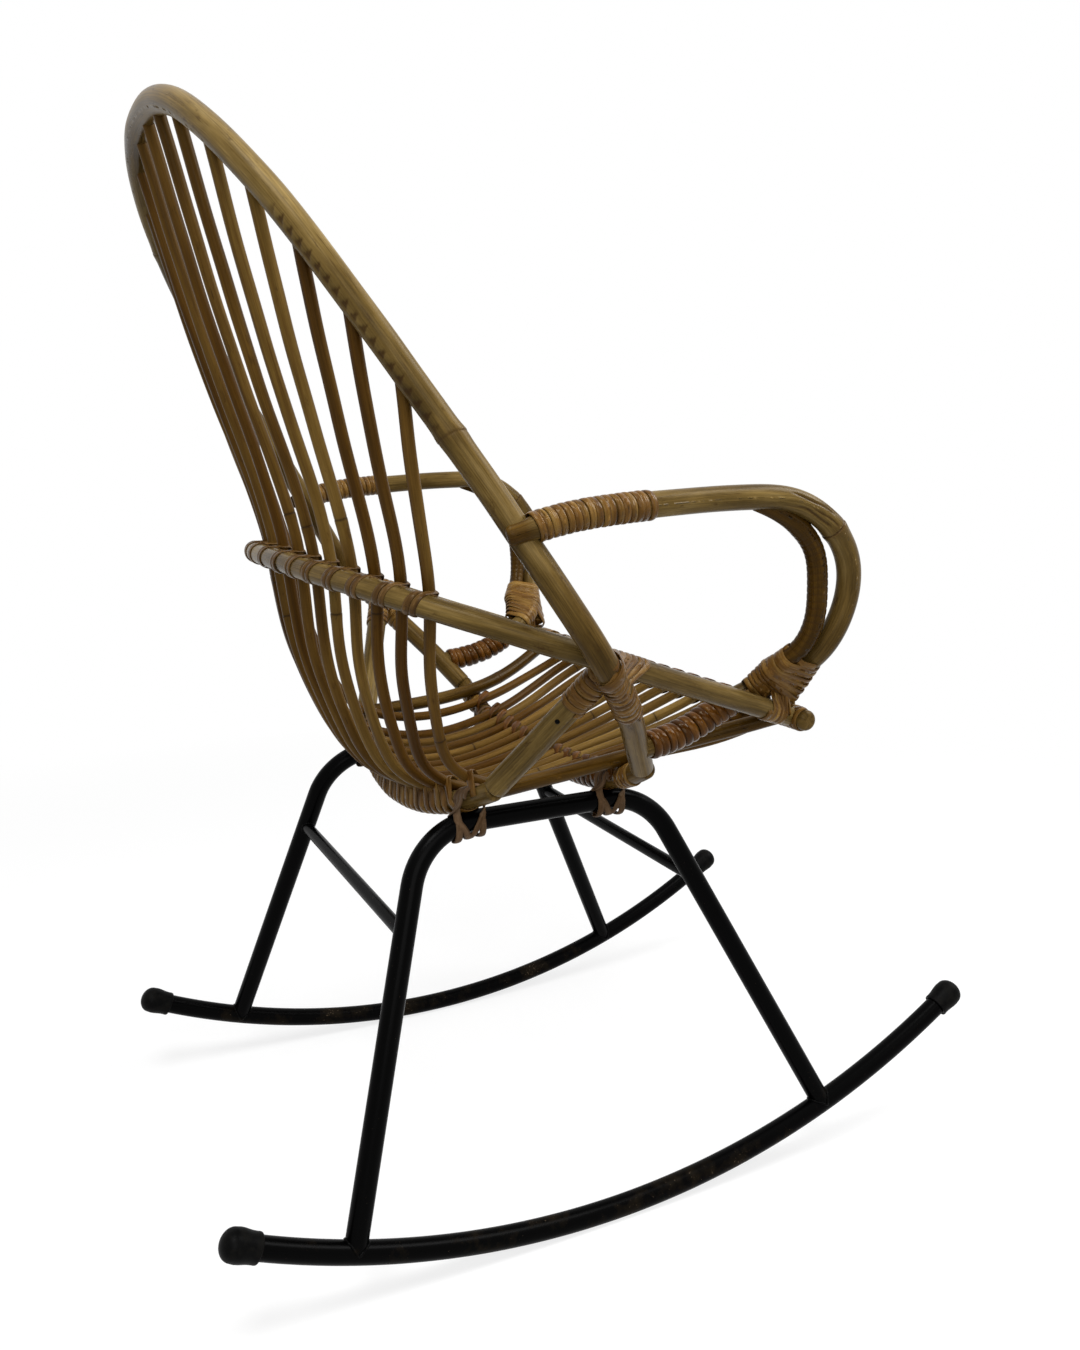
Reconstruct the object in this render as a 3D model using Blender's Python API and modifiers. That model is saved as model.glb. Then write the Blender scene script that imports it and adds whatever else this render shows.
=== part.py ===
# Rattan rocking chair: bent steel base, cane shell lashed on top.
# Metres, +Z up, the sitter faces -Y, the sitter's right is -X.
import math

import bmesh
import bpy
import numpy as np
from mathutils import Vector

for old in list(bpy.data.objects):
    bpy.data.objects.remove(old, do_unlink=True)

# Clearances and strips
GAP = 0.0003           # between two pieces that touch
COPE_SHORT = 0.85      # a coped end stops this share of the bar's radius from its centre
STRIP_T = 0.0010       # cane strip, thick
BIND_W = 0.0042        # strip that binds the canes
WRAP_W = 0.0060        # strip that wraps arms and joints
WRAP_PITCH = 0.0078
LASH_W = 0.0042        # strip that ties the shell to the steel
STITCH_LIE = 1.25      # corners of a stitch stand off the bar by this share, so that its flats clear it
STITCH_RISE = 0.0032   # a stitch stands off the crown of its cane
STITCH_ASIDE = 0.0029  # and off its flank
LASH_OVER = 1.25       # corners of a lashing stand off the crossbar by this share
LASH_UNDER = 1.20      # and off the steel
LASH_ASIDE = 0.0048    # and off the crossbar's flank

# Steel base
TUBE_R = 0.0100
STRETCHER_R = 0.0064
ROCKER_X = 0.227       # rocker planes, from the middle
ROCKER_R = 0.757       # rocker centre line
ROCK_Y = 0.034         # where the rocker meets the floor
FRONT_REACH = 0.418    # from there to the front tube end
REAR_REACH = 0.3505
FOOT_FRONT_Y = -0.211
FOOT_REAR_Y = 0.2815
TOP_Z = 0.379          # top bar centre; all heights of the shell are above it
TOP_X = 0.1400
TOP_FRONT_Y = -0.0500  # corners of the top bar, before bending
TOP_REAR_Y = 0.1815
BEND_R = 0.068
STRETCHER_Z = 0.2935

# Rubber caps: radius and distance from the closed end, as shares of the cap's own
CAP_WALL = 0.0040
CAP_LONG = 0.032
CAP_OVER = 0.005       # rubber beyond the tube end
CAP_SHARES = [(0.0, 0.0), (0.62, 0.016), (1.0, 0.28), (1.0, 0.59), (0.88, 0.78), (0.88, 1.0), (0.0, 1.0)]

# Rattan poles
HOOP_R = 0.0107
RAIL_R = 0.0095
ARM_R = 0.0102
INNER_R = 0.0086
BRACE_R = 0.0108
BAR_R = 0.0095         # crossbars and front edge bar
SIDE_R = 0.0072
CANE_R = 0.0047
CANES_A_SIDE = 7
LASH_ROOM = 0.0172     # from the lashing to the cane on each side of it
EDGE_PITCH = 0.0285    # canes under the front edge bar
CANE_BOWL_SHARES = [(0.32, 0.35), (0.68, 0.68), (0.955, 0.92)]  # across and down, belt to rear crossbar
CANE_BOWL_POWER = 1.75   # roundness of the way down

# Crossbars, dished so that they rest on the steel at TOP_X
REAR_BAR_INSET = 0.044   # from the steel's rear corner
REAR_BAR_HALF = 0.1805
REAR_BAR_DISH = 1.35
REAR_BAR_POWER = 2.0
REAR_BAR_BOW = 0.016     # its middle, behind its rests
FRONT_BAR_INSET = 0.0435  # from the steel's front corner
FRONT_BAR_HALF = 0.212
FRONT_BAR_DISH = 4.20
FRONT_BAR_POWER = 3.0
BRACE_INSET = 0.006    # brace foot, from the end of the rear crossbar
SIDE_INSET = 0.007     # seat side pole, from there too
SIDE_EDGE_INSET = 0.033  # and from the end of the front edge bar
HOOP_INSET = 0.0075    # hoop foot, from the end of the front crossbar

# Belt rail in plan, and how it climbs to the back; the front edge bar takes its ends
EDGE_Y = -0.138
EDGE_RISE = 0.089
EDGE_OVER = 0.021      # edge bar beyond the rail
RAIL_FRONT_X = 0.250
RAIL_WIDE_Y = 0.089
RAIL_WIDE_X = 0.2840
RAIL_DEEP = 0.180
RAIL_ROUND = 0.91      # power that squares the rounded back a little
RAIL_RISE = 0.1695
RAIL_CLIMB = 0.355
RAIL_SETTLE = 0.05
RAIL_SPREAD = 0.239    # along the rail, back to the outermost cane
RAIL_CROWD = 0.85      # power that sets the canes closer at the sides than at the back
BRACE_TOP_Y = 0.070    # where the brace meets the rail

# Back hoop, one side from the front crossbar up to the crown
HOOP_OFF = 0.0042      # clear of the belt rail, where it passes outside
HOOP_SIDE = [(0.263, 0.041, 0.108), (RAIL_WIDE_X + RAIL_R + HOOP_R + HOOP_OFF, 0.093, 0.170),
             (0.294, 0.158, 0.272), (0.264, 0.235, 0.391), (0.188, 0.3165, 0.527), (0.108, 0.3445, 0.581)]
CROWN = (0.0, 0.352, 0.6005)
CANE_SPREAD = 0.394    # along the hoop, crown to the outermost cane
CANE_CROWD = 1.06
CANE_STRAIGHT = 0.62   # share of the way from hoop to belt that a cane runs straight

# Arm, from its tongue round the hoop to the foot of the hoop, and the arc inside it
ARM = [(0.302, 0.1695, 0.2665), (0.3055, 0.130, 0.277), (0.3055, 0.0545, 0.2855), (0.303, -0.0375, 0.2895),
       (0.306, -0.084, 0.2855), (0.309, -0.123, 0.262), (0.304, -0.145, 0.228), (0.298, -0.148, 0.1975),
       (0.291, -0.1355, 0.163), (0.258, -0.121, 0.131), (0.2325, -0.0885, 0.109), (0.226, -0.038, 0.083)]
ARM_END_RISE = 0.074   # where it meets the hoop again
INNER = [(0.304, -0.045, 0.285), (0.302, -0.086, 0.269), (0.300, -0.112, 0.242), (0.298, -0.118, 0.213),
         (0.294, -0.119, 0.184), (0.284, -0.113, 0.159), (0.269, -0.100, 0.142)]

# Windings: where each starts along its pole, and its turns
ARM_REAR_FROM, ARM_REAR_TURNS = 0.031, 13
ARM_FRONT_FROM, ARM_FRONT_TURNS = 0.427, 4
ARM_LOWER_FROM, ARM_LOWER_TURNS = 0.519, 9
ARC_SWELL = 1.12       # the front winding stands off the inner arc by this share
JOINT_AHEAD = 0.034    # rail winding, from the hoop
JOINT_TURNS = 3
HOOP_WRAP_BELOW = 0.067  # middle of the hoop winding, below the rail
HOOP_WRAP_TURNS = 4
BRACE_WRAP_AT = 0.72   # share of the brace below its winding
NEAR_STITCH = 0.10     # how far off a stitch its cane is looked at

# Worked out from the sizes above
SIDES = {"right": -1, "left": 1}
CANE_KEYS = range(-CANES_A_SIDE, CANES_A_SIDE + 1)
CAP_R = TUBE_R + CAP_WALL
REAR_BAR_Y = TOP_REAR_Y - REAR_BAR_INSET
FRONT_BAR_Y = TOP_FRONT_Y + FRONT_BAR_INSET
EDGE_Z = TOP_Z + EDGE_RISE
EDGE_HALF = RAIL_FRONT_X + EDGE_OVER
SEAT_PITCH = (TOP_X - LASH_ROOM) / (CANES_A_SIDE - 1)
CANE_RISE = BAR_R + CANE_R + GAP


def through(points, count=0, steps=0):
    """Smooth line through a few points: count even points, or so many steps between neighbours."""
    p = np.array(points, float)
    t = np.concatenate([[0.0], np.cumsum(np.linalg.norm(np.diff(p, axis=0), axis=1))])
    h, n = np.diff(t), len(p)
    a, b = np.eye(n), np.zeros((n, 3))
    for i in range(1, n - 1):
        a[i, i - 1:i + 2] = h[i - 1], 2 * (h[i - 1] + h[i]), h[i]
        b[i] = 3 * ((p[i + 1] - p[i]) / h[i] - (p[i] - p[i - 1]) / h[i - 1])
    c = np.linalg.solve(a, b)
    s = np.linspace(0, t[-1], count)
    if not count:
        s = np.interp(np.arange((n - 1) * steps + 1) / steps, range(n), t)
    k = np.clip(np.searchsorted(t, s, side="right") - 1, 0, n - 2)
    u, hk = (s - t[k])[:, None], h[k][:, None]
    slope = (p[k + 1] - p[k]) / hk - hk * (2 * c[k] + c[k + 1]) / 3
    return p[k] + slope * u + c[k] * u ** 2 + (c[k + 1] - c[k]) / (3 * hk) * u ** 3


def lengths(line):
    """Distance along a line at each of its points."""
    return np.concatenate([[0.0], np.cumsum(np.linalg.norm(np.diff(line, axis=0), axis=1))])


def at(line, s):
    """Points and directions at distances s along a line."""
    run = lengths(line)
    here = np.stack([np.interp(s, run, line[:, i]) for i in range(3)], -1)
    slope = np.gradient(line, run, axis=0)
    way = np.stack([np.interp(s, run, slope[:, i]) for i in range(3)], -1)
    return here, way / np.linalg.norm(way, axis=-1, keepdims=True)


def mirrored(points, side):
    return np.array(points, float) * (side, 1, 1)


def raised(points):
    """Points of the shell, given as heights above the steel's top bar."""
    return np.array(points, float) + (0, 0, TOP_Z)


# Collections and finishes
home = bpy.data.collections.new("rattan_rocking_chair")
cutters = bpy.data.collections.new("cutters")
cutters.hide_render = True
for made in (home, cutters):
    bpy.context.scene.collection.children.link(made)


def finish(name, colour, rough, metal=0.0):
    mat = bpy.data.materials.new(name)
    mat.use_nodes = True
    shader = mat.node_tree.nodes["Principled BSDF"]
    shader.inputs["Base Color"].default_value = (*colour, 1)
    shader.inputs["Roughness"].default_value = rough
    shader.inputs["Metallic"].default_value = metal
    return mat


STEEL = ((0.012, 0.012, 0.013), 0.35, 0.0)
RUBBER = ((0.010, 0.010, 0.010), 0.75, 0.0)
POLE = ((0.33, 0.23, 0.09), 0.40, 0.0)
CANE = ((0.24, 0.12, 0.045), 0.45, 0.0)
STRIP = ((0.20, 0.085, 0.028), 0.35, 0.0)


def place(name, data, look):
    obj = bpy.data.objects.new(name, data)
    home.objects.link(obj)
    obj.data.materials.append(finish(name + "_finish", *look))
    return obj


def tube_curve(name, line, radius, sides, turn):
    curve = bpy.data.curves.new(name, "CURVE")
    curve.dimensions = "3D"
    curve.bevel_depth = radius
    curve.bevel_resolution = (sides - 4) // 2
    curve.use_fill_caps = True
    spline = curve.splines.new("POLY")
    spline.points.add(len(line) - 1)
    for point, co in zip(spline.points, line):
        point.co = (*co, 1)
        point.tilt = turn
    return curve


def tube_mesh(name, line, radius, sides, turn=0.0):
    """The swept tube as one closed mesh, so that it can be cut or can cut."""
    curve = tube_curve(name, line, radius, sides, turn)
    guide = bpy.data.objects.new(name + "_guide", curve)
    cutters.objects.link(guide)
    bpy.context.view_layer.update()
    mesh = bpy.data.meshes.new_from_object(guide.evaluated_get(bpy.context.evaluated_depsgraph_get()))
    bpy.data.objects.remove(guide, do_unlink=True)
    bpy.data.curves.remove(curve)
    bm = bmesh.new()
    bm.from_mesh(mesh)
    bmesh.ops.remove_doubles(bm, verts=bm.verts, dist=1e-6)
    bmesh.ops.recalc_face_normals(bm, faces=bm.faces)
    bm.to_mesh(mesh)
    bm.free()
    mesh.name = name
    mesh.materials.clear()
    return mesh


def pole(name, line, radius, look, sides=8, turn=0.0):
    return place(name, tube_mesh(name, line, radius, sides, turn), look)


def helper(name, mesh):
    obj = bpy.data.objects.new(name, mesh)
    obj.display_type = "WIRE"
    obj.hide_render = True
    cutters.objects.link(obj)
    return obj


def cutter(name, line, radius, sides=12):
    """A tube that clears a pole all round by the gap, for coping what meets it."""
    round_up = 1 / math.cos(math.pi / sides)
    return helper(name, tube_mesh(name, line, (radius + GAP) * round_up, sides))


def cope(obj, *tools):
    for tool in tools:
        cut = obj.modifiers.new("cope_" + tool.name, "BOOLEAN")
        cut.operation = "DIFFERENCE"
        cut.solver = "EXACT"
        cut.object = tool


# Lines of the steel base
def rocker_line(side, count, over=0.0):
    first = math.asin(FRONT_REACH / ROCKER_R) + over / ROCKER_R
    last = math.asin(REAR_REACH / ROCKER_R) + over / ROCKER_R
    turn = np.linspace(-first, last, count)
    return np.stack([np.full(count, side * ROCKER_X), ROCK_Y + ROCKER_R * np.sin(turn),
                     TUBE_R + ROCKER_R * (1 - np.cos(turn))], 1)


def rocker_point(side, y):
    return (side * ROCKER_X, y, TUBE_R + ROCKER_R - math.sqrt(ROCKER_R ** 2 - (y - ROCK_Y) ** 2))


def rounded(corners, radius, steps):
    """A bent tube's line: straight runs, with an arc of this radius at each inner corner."""
    p = [np.array(c, float) for c in corners]
    line = [p[0]]
    for before, corner, after in zip(p, p[1:], p[2:]):
        a, b = before - corner, after - corner
        a, b = a / np.linalg.norm(a), b / np.linalg.norm(b)
        half = math.acos(float(a @ b)) / 2
        middle = corner + (a + b) / np.linalg.norm(a + b) * radius / math.sin(half)
        start = corner + a * radius / math.tan(half) - middle
        end = corner + b * radius / math.tan(half) - middle
        sweep = math.pi - 2 * half
        for u in np.linspace(0, 1, steps + 1):
            arc = start * math.sin((1 - u) * sweep) + end * math.sin(u * sweep)
            line.append(middle + arc / math.sin(sweep))
    return np.array(line + [p[-1]])


def frame_line(side):
    return rounded([rocker_point(side, FOOT_REAR_Y), (side * TOP_X, TOP_REAR_Y, TOP_Z),
                    (side * TOP_X, TOP_FRONT_Y, TOP_Z), rocker_point(side, FOOT_FRONT_Y)], BEND_R, 6)


def leg_at(foot_y, top_y, z):
    """Where a leg's centre line stands at height z, on the left side."""
    foot = np.array(rocker_point(1, foot_y))
    top = np.array((TOP_X, top_y, TOP_Z))
    return foot + (top - foot) * (z - foot[2]) / (top[2] - foot[2])


# Lines of the rattan
def bar_line(y, half, dish, power, bow, count):
    """A crossbar that rests on both top bars and is dished and bowed between them."""
    lean = math.atan(power * dish * TOP_X ** (power - 1))
    low = TOP_Z + (TUBE_R + BAR_R + GAP) / math.cos(lean) - dish * TOP_X ** power
    x = np.linspace(-half, half, count)
    return np.stack([x, y + bow * (1 - (x / TOP_X) ** 2), low + dish * abs(x) ** power], 1)


REAR_BAR = bar_line(REAR_BAR_Y, REAR_BAR_HALF, REAR_BAR_DISH, REAR_BAR_POWER, REAR_BAR_BOW, 17)
FRONT_BAR = bar_line(FRONT_BAR_Y, FRONT_BAR_HALF, FRONT_BAR_DISH, FRONT_BAR_POWER, 0.0, 19)
EDGE_BAR = np.array([(x, EDGE_Y, EDGE_Z) for x in np.linspace(-EDGE_HALF, EDGE_HALF, 3)])
EDGE_TILT = math.atan((EDGE_Z - FRONT_BAR[:, 2].min() - 2 * CANE_RISE) / (FRONT_BAR_Y - EDGE_Y))
EDGE_UNDER = np.array((0, -math.sin(EDGE_TILT), -math.cos(EDGE_TILT)))


def on_bar(bar, x):
    return np.array((x, np.interp(x, bar[:, 0], bar[:, 1]), np.interp(x, bar[:, 0], bar[:, 2])))


def lean_at(bar, x):
    """Slope of a crossbar, as an angle."""
    return math.atan(np.interp(x, bar[:, 0], np.gradient(bar[:, 2], bar[:, 0])))


def over_bar(bar, x, rise):
    """A point this far off the bar's centre line, square to it and up."""
    lean = lean_at(bar, x)
    return on_bar(bar, x) + np.array((-math.sin(lean), 0, math.cos(lean))) * rise


def towards(start, goal, distance):
    """A point this far from start on the way to goal."""
    start, goal = np.array(start, float), np.array(goal, float)
    return start + (goal - start) / np.linalg.norm(goal - start) * distance


def hoop_line(count):
    side = raised(HOOP_SIDE)
    foot = towards(on_bar(FRONT_BAR, FRONT_BAR_HALF - HOOP_INSET), side[0], BAR_R * COPE_SHORT)
    left = np.array([foot, *side])
    return through([*mirrored(left, -1), raised(CROWN), *left[::-1]], count)


def rail_height(y):
    past = y - RAIL_WIDE_Y
    return TOP_Z + RAIL_RISE + RAIL_CLIMB * past - RAIL_SETTLE * np.maximum(past, 0) ** 2


def rail_line(count):
    """A straight run each side and a rounded back, all climbing to the rear."""
    turn = np.linspace(0, math.pi, 13)
    back = [(math.copysign(abs(math.cos(a)) ** RAIL_ROUND, -math.cos(a)) * RAIL_WIDE_X,
             RAIL_WIDE_Y + RAIL_DEEP * max(math.sin(a), 0) ** RAIL_ROUND) for a in turn]
    plan = [(-RAIL_FRONT_X, EDGE_Y), (-(RAIL_FRONT_X + RAIL_WIDE_X) / 2, (EDGE_Y + RAIL_WIDE_Y) / 2)]
    plan = plan + back + [(-x, y) for x, y in reversed(plan)]
    return through([(x, y, rail_height(y)) for x, y in plan], count)


HOOP = hoop_line(47)
HOOP_FINE = hoop_line(400)
RAIL = rail_line(43)
RAIL_FINE = rail_line(400)
HOOP_MIDDLE = lengths(HOOP_FINE)[-1] / 2
RAIL_MIDDLE = lengths(RAIL_FINE)[-1] / 2


def arm_line(side, count):
    left = HOOP_FINE[len(HOOP_FINE) // 2:]
    end = left[np.argmin(abs(left[:, 2] - TOP_Z - ARM_END_RISE))]
    return through(mirrored([*raised(ARM), end], side), count)


def inner_line(side, count):
    return through(mirrored(raised(INNER), side), count)


def nearest(line, point):
    """How far along a line it passes a point."""
    return lengths(line)[np.argmin(np.linalg.norm(line - np.array(point), axis=1))]


def rail_at(side, y):
    """How far along the rail it passes y, on one side."""
    run = lengths(RAIL_FINE)
    half = RAIL_FINE[:, 0] * side > 0
    return run[half][np.argmin(abs(RAIL_FINE[half, 1] - y))]


def rail_stop(k):
    """How far along the rail cane k crosses it."""
    return RAIL_MIDDLE + math.copysign(RAIL_SPREAD * (abs(k) / CANES_A_SIDE) ** RAIL_CROWD, k)


def rail_in(k):
    """Square to the rail and level, towards the sitter, where cane k crosses it."""
    _, way = at(RAIL_FINE, rail_stop(k))
    n = np.cross(way, (0, 0, 1))
    return n / np.linalg.norm(n)


def seat_x(k):
    """Where cane k crosses the crossbars: the outermost of each side stands beyond the lashing."""
    n = abs(k)
    return math.copysign(n * SEAT_PITCH if n < CANES_A_SIDE else TOP_X + LASH_ROOM, k)


def cane_line(k, steps):
    """One cane: hoop, inside of the rail, under the sitter, over both crossbars, under the front edge bar."""
    share = abs(k) / CANES_A_SIDE
    top, _ = at(HOOP_FINE, HOOP_MIDDLE + math.copysign(CANE_SPREAD * share ** CANE_CROWD, k))
    on_rail, _ = at(RAIL_FINE, rail_stop(k))
    belt = on_rail + rail_in(k) * (RAIL_R + CANE_R + 2 * GAP)
    rear, front = (over_bar(bar, seat_x(k), CANE_RISE) for bar in (REAR_BAR, FRONT_BAR))
    drop = [belt + (rear - belt) * (f, 1 - (1 - d ** CANE_BOWL_POWER) ** (1 / CANE_BOWL_POWER), d)
            for f, d in CANE_BOWL_SHARES]
    ahead = np.array((0, -math.cos(EDGE_TILT), math.sin(EDGE_TILT)))
    edge = np.array((k * EDGE_PITCH, EDGE_Y, EDGE_Z)) + EDGE_UNDER * CANE_RISE
    taut = top + (belt - top) * CANE_STRAIGHT
    return through([top, taut, belt, *drop, rear, front, edge, edge + ahead * BAR_R], steps=steps)


# Steel base
STEEL_SIDES = 10
rocker_cutters, frame_cutters = {}, {}
for word, side in SIDES.items():
    pole(f"rocker_{word}", rocker_line(side, 25), TUBE_R, STEEL, STEEL_SIDES, math.pi / STEEL_SIDES)
    rocker_cutters[word] = cutter(f"cut_rocker_{word}", rocker_line(side, 41, 0.004), TUBE_R)
    base = pole(f"side_frame_{word}", frame_line(side), TUBE_R, STEEL, STEEL_SIDES)
    cope(base, rocker_cutters[word])
    frame_cutters[word] = cutter(f"cut_frame_{word}", frame_line(side), TUBE_R)
for word, foot_y, top_y in (("front", FOOT_FRONT_Y, TOP_FRONT_Y), ("rear", FOOT_REAR_Y, TOP_REAR_Y)):
    left = leg_at(foot_y, top_y, STRETCHER_Z)
    stretcher = pole(f"stretcher_{word}", [mirrored(left, -1), left], STRETCHER_R, STEEL, STEEL_SIDES)
    cope(stretcher, *frame_cutters.values())


def cap(name, end, way):
    """A rounded rubber cup, turned about the tube's end and bored to fit it."""
    bm = bmesh.new()
    verts = [bm.verts.new((CAP_R * r, 0, CAP_OVER - CAP_LONG * z)) for r, z in CAP_SHARES]
    edges = [bm.edges.new(pair) for pair in zip(verts, verts[1:])]
    bmesh.ops.spin(bm, geom=verts + edges, cent=(0, 0, 0), axis=(0, 0, 1), angle=2 * math.pi, steps=14,
                   use_merge=True)
    bmesh.ops.remove_doubles(bm, verts=bm.verts, dist=1e-6)
    bmesh.ops.recalc_face_normals(bm, faces=bm.faces)
    turn = Vector((0, 0, 1)).rotation_difference(Vector(way)).to_matrix().to_4x4()
    bm.transform(turn)
    bmesh.ops.translate(bm, verts=bm.verts, vec=Vector(end))
    mesh = bpy.data.meshes.new(name)
    bm.to_mesh(mesh)
    bm.free()
    return place(name, mesh, RUBBER)


for word, side in SIDES.items():
    line = rocker_line(side, 25)
    bore = cutter(f"cut_cap_{word}", rocker_line(side, 41, GAP), TUBE_R)
    for where, end, near in (("front", 0, 1), ("rear", -1, -2)):
        way = line[end] - line[near]
        made = cap(f"cap_{where}_{word}", line[end], way / np.linalg.norm(way))
        cope(made, bore)

# Crossbars, hoop, rail
rear_bar = pole("crossbar_rear", REAR_BAR, BAR_R, POLE)
front_bar = pole("crossbar_front", FRONT_BAR, BAR_R, POLE)
edge_bar = pole("bar_front_edge", EDGE_BAR, BAR_R, POLE)
cut_rear = cutter("cut_crossbar_rear", REAR_BAR, BAR_R)
cut_front = cutter("cut_crossbar_front", FRONT_BAR, BAR_R)
cut_edge = cutter("cut_front_edge", EDGE_BAR, BAR_R)
hoop = pole("back_hoop", HOOP, HOOP_R, POLE)
cut_hoop = cutter("cut_hoop", HOOP, HOOP_R)
cope(hoop, cut_front)
rail = pole("belt_rail", RAIL, RAIL_R, POLE)
cut_rail = cutter("cut_rail", RAIL, RAIL_R)
cope(rail, cut_edge)

# Arms, inner arcs, braces and seat side poles
def brace_ends(side):
    """Where a brace's centre line meets those of the rear crossbar and the belt rail."""
    foot = on_bar(REAR_BAR, side * (REAR_BAR_HALF - BRACE_INSET))
    top, _ = at(RAIL_FINE, rail_at(side, BRACE_TOP_Y))
    return foot, top


for word, side in SIDES.items():
    arm = pole(f"arm_{word}", arm_line(side, 37), ARM_R, POLE)
    cope(arm, cut_hoop, cut_front)
    cut_arm = cutter(f"cut_arm_{word}", arm_line(side, 37), ARM_R)
    inner = pole(f"arm_inner_arc_{word}", inner_line(side, 13), INNER_R, POLE)
    cope(inner, cut_arm)
    foot, top = brace_ends(side)
    brace = pole(f"brace_{word}", [towards(foot, top, BAR_R * COPE_SHORT),
                                   towards(top, foot, RAIL_R * COPE_SHORT)], BRACE_R, POLE)
    cope(brace, cut_rear, cut_rail, cut_hoop)
    cut_brace = cutter(f"cut_brace_{word}", [foot, top], BRACE_R)
    x = side * (REAR_BAR_HALF - SIDE_INSET)
    lift = (BAR_R + SIDE_R + GAP) / math.cos(lean_at(FRONT_BAR, x))
    run = [on_bar(REAR_BAR, x), on_bar(FRONT_BAR, x) + (0, 0, lift),
           on_bar(EDGE_BAR, side * (EDGE_HALF - SIDE_EDGE_INSET))]
    side_pole = pole(f"seat_side_pole_{word}", through(run, 9), SIDE_R, POLE)
    cope(side_pole, cut_rear, cut_edge, cut_brace)

# Canes
for k in CANE_KEYS:
    made = pole(f"cane_{k + CANES_A_SIDE + 1:02d}", cane_line(k, 2), CANE_R, CANE, 6)
    cope(made, cut_hoop)


# Cane strip: an unbroken flat ribbon laid along points, facing the given way out
def ribbon(name, points, outs, wide):
    points, outs = np.array(points), np.array(outs)
    run = np.gradient(points, axis=0)
    across = np.cross(run, outs)
    across *= wide / 2 / np.linalg.norm(across, axis=1, keepdims=True)
    count = len(points)
    bm = bmesh.new()
    bmesh.ops.create_grid(bm, x_segments=1, y_segments=count - 1, size=1.0)
    for v in bm.verts:
        row = round((v.co.y + 1) / 2 * (count - 1))
        v.co = points[row] + across[row] * (1 if v.co.x > 0 else -1)
    bmesh.ops.recalc_face_normals(bm, faces=bm.faces)
    mesh = bpy.data.meshes.new(name)
    bm.to_mesh(mesh)
    bm.free()
    obj = place(name, mesh, STRIP)
    thick = obj.modifiers.new("thickness", "SOLIDIFY")
    thick.thickness = STRIP_T
    thick.offset = 0.0
    thick.use_rim = True
    edges = np.concatenate([points + across, points - across, points])
    rows = np.tile(np.arange(count), 3)
    apart = np.linalg.norm(edges[:, None] - edges[None], axis=2)
    apart[abs(rows[:, None] - rows[None]) < 4] = 1.0
    print(f"{name}: least gap to itself {1000 * apart.min():.2f} mm")
    return obj


def frame_at(line, s, up):
    """Place, direction along, direction towards up square to it, and the third."""
    here, way = at(line, s)
    u = np.array(up, float) - way * (np.array(up, float) @ way)
    u /= np.linalg.norm(u)
    return here, way, u, np.cross(way, u)


def tight(u, v, near, radius, other, sides, i):
    """Corner i of the outline drawn tight round a pole and, if it has one, its partner."""
    corner = []
    for half in (-0.5, 0.5):
        turn = 2 * math.pi * (i + half) / sides
        face = math.cos(turn) * u + math.sin(turn) * v
        corner.append((math.cos(turn), math.sin(turn), max(radius, near @ face + other)))
    (a, b, h), (c, d, k) = corner
    return ((h * d - k * b) * u + (a * k - c * h) * v) / (a * d - b * c)


def wrap(name, line, start, turns, radius, up, partner=None, partner_r=0.0, sides=7):
    """A strip wound round a pole, or round it and a partner that lies beside it."""
    lie = GAP * 2 + STRIP_T / 2
    points, outs = [], []
    for i in range(turns * sides + 1):
        here, way, u, v = frame_at(line, start + WRAP_PITCH * i / sides, up)
        near = np.zeros(3)
        if partner is not None:
            gaps = partner - here
            near = gaps[np.argmin(abs(gaps @ way) + 0.2 * np.linalg.norm(gaps, axis=1))]
            near = near - way * (near @ way)
        reach = tight(u, v, near, radius + lie, (partner_r + lie) if partner is not None else 0.0, sides, i)
        points.append(here + reach)
        turn = 2 * math.pi * i / sides
        outs.append(math.cos(turn) * u + math.sin(turn) * v)
    return ribbon(name, points, outs, WRAP_W)


def bind(name, bar, bar_r, stop_of, up_of):
    """One strip along a bar with a stitch over each cane: round the bar, then slantwise over the cane."""
    lie = (bar_r + GAP + STRIP_T / 2) * STITCH_LIE
    crown = CANE_R + GAP + STRIP_T / 2 + STITCH_RISE
    beside = CANE_R + GAP + STRIP_T + STITCH_ASIDE
    slant, drift = 0.62 * BIND_W, 0.11 * lie
    back = [(-0.17, -1.0, -1.19), (-0.89, -0.42, -0.24), (-0.89, 0.42, 0.24), (-0.17, 1.0, -0.95)]
    over = [(0.0, 0.53 * lie, -beside), (crown, drift, -slant)]
    over += [(a, -b, -c) for a, b, c in reversed(over)]
    points, outs = [], []
    for k in CANE_KEYS:
        cane, stop = cane_line(k, 2), stop_of(k)
        middle, along, up, wide = frame_at(bar, stop, up_of(k))
        seen = (cane - middle) @ np.stack([up, wide, along], 1)
        seen = seen[(abs(seen[:, 0] - bar_r) < NEAR_STITCH) & (abs(seen[:, 1]) < NEAR_STITCH)]
        seen = seen[np.argsort(seen[:, 1])]

        def lay(a, b, c):
            here, way, u, v = frame_at(bar, stop + c, up_of(k))
            points.append(here + a * u + b * v)
            return way, u, v

        for a, b, c in back:
            _, u, v = lay(a * lie, b * lie, c * BIND_W)
            outs.append(a * u + b * v)
        for a, b, c in over:
            rise, shift = (np.interp(b, seen[:, 1], seen[:, i]) for i in (0, 2))
            way, u, v = lay(rise + a, b, shift + c)
            outs.append(a * u + c * way)
        _, u, v = lay(-0.17 * lie, -lie, 1.29 * BIND_W)
        outs.append(-v)
    return ribbon(name, points, outs, BIND_W)


def x_stop(bar, x):
    return float(np.interp(x, bar[:, 0], lengths(bar)))


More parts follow.
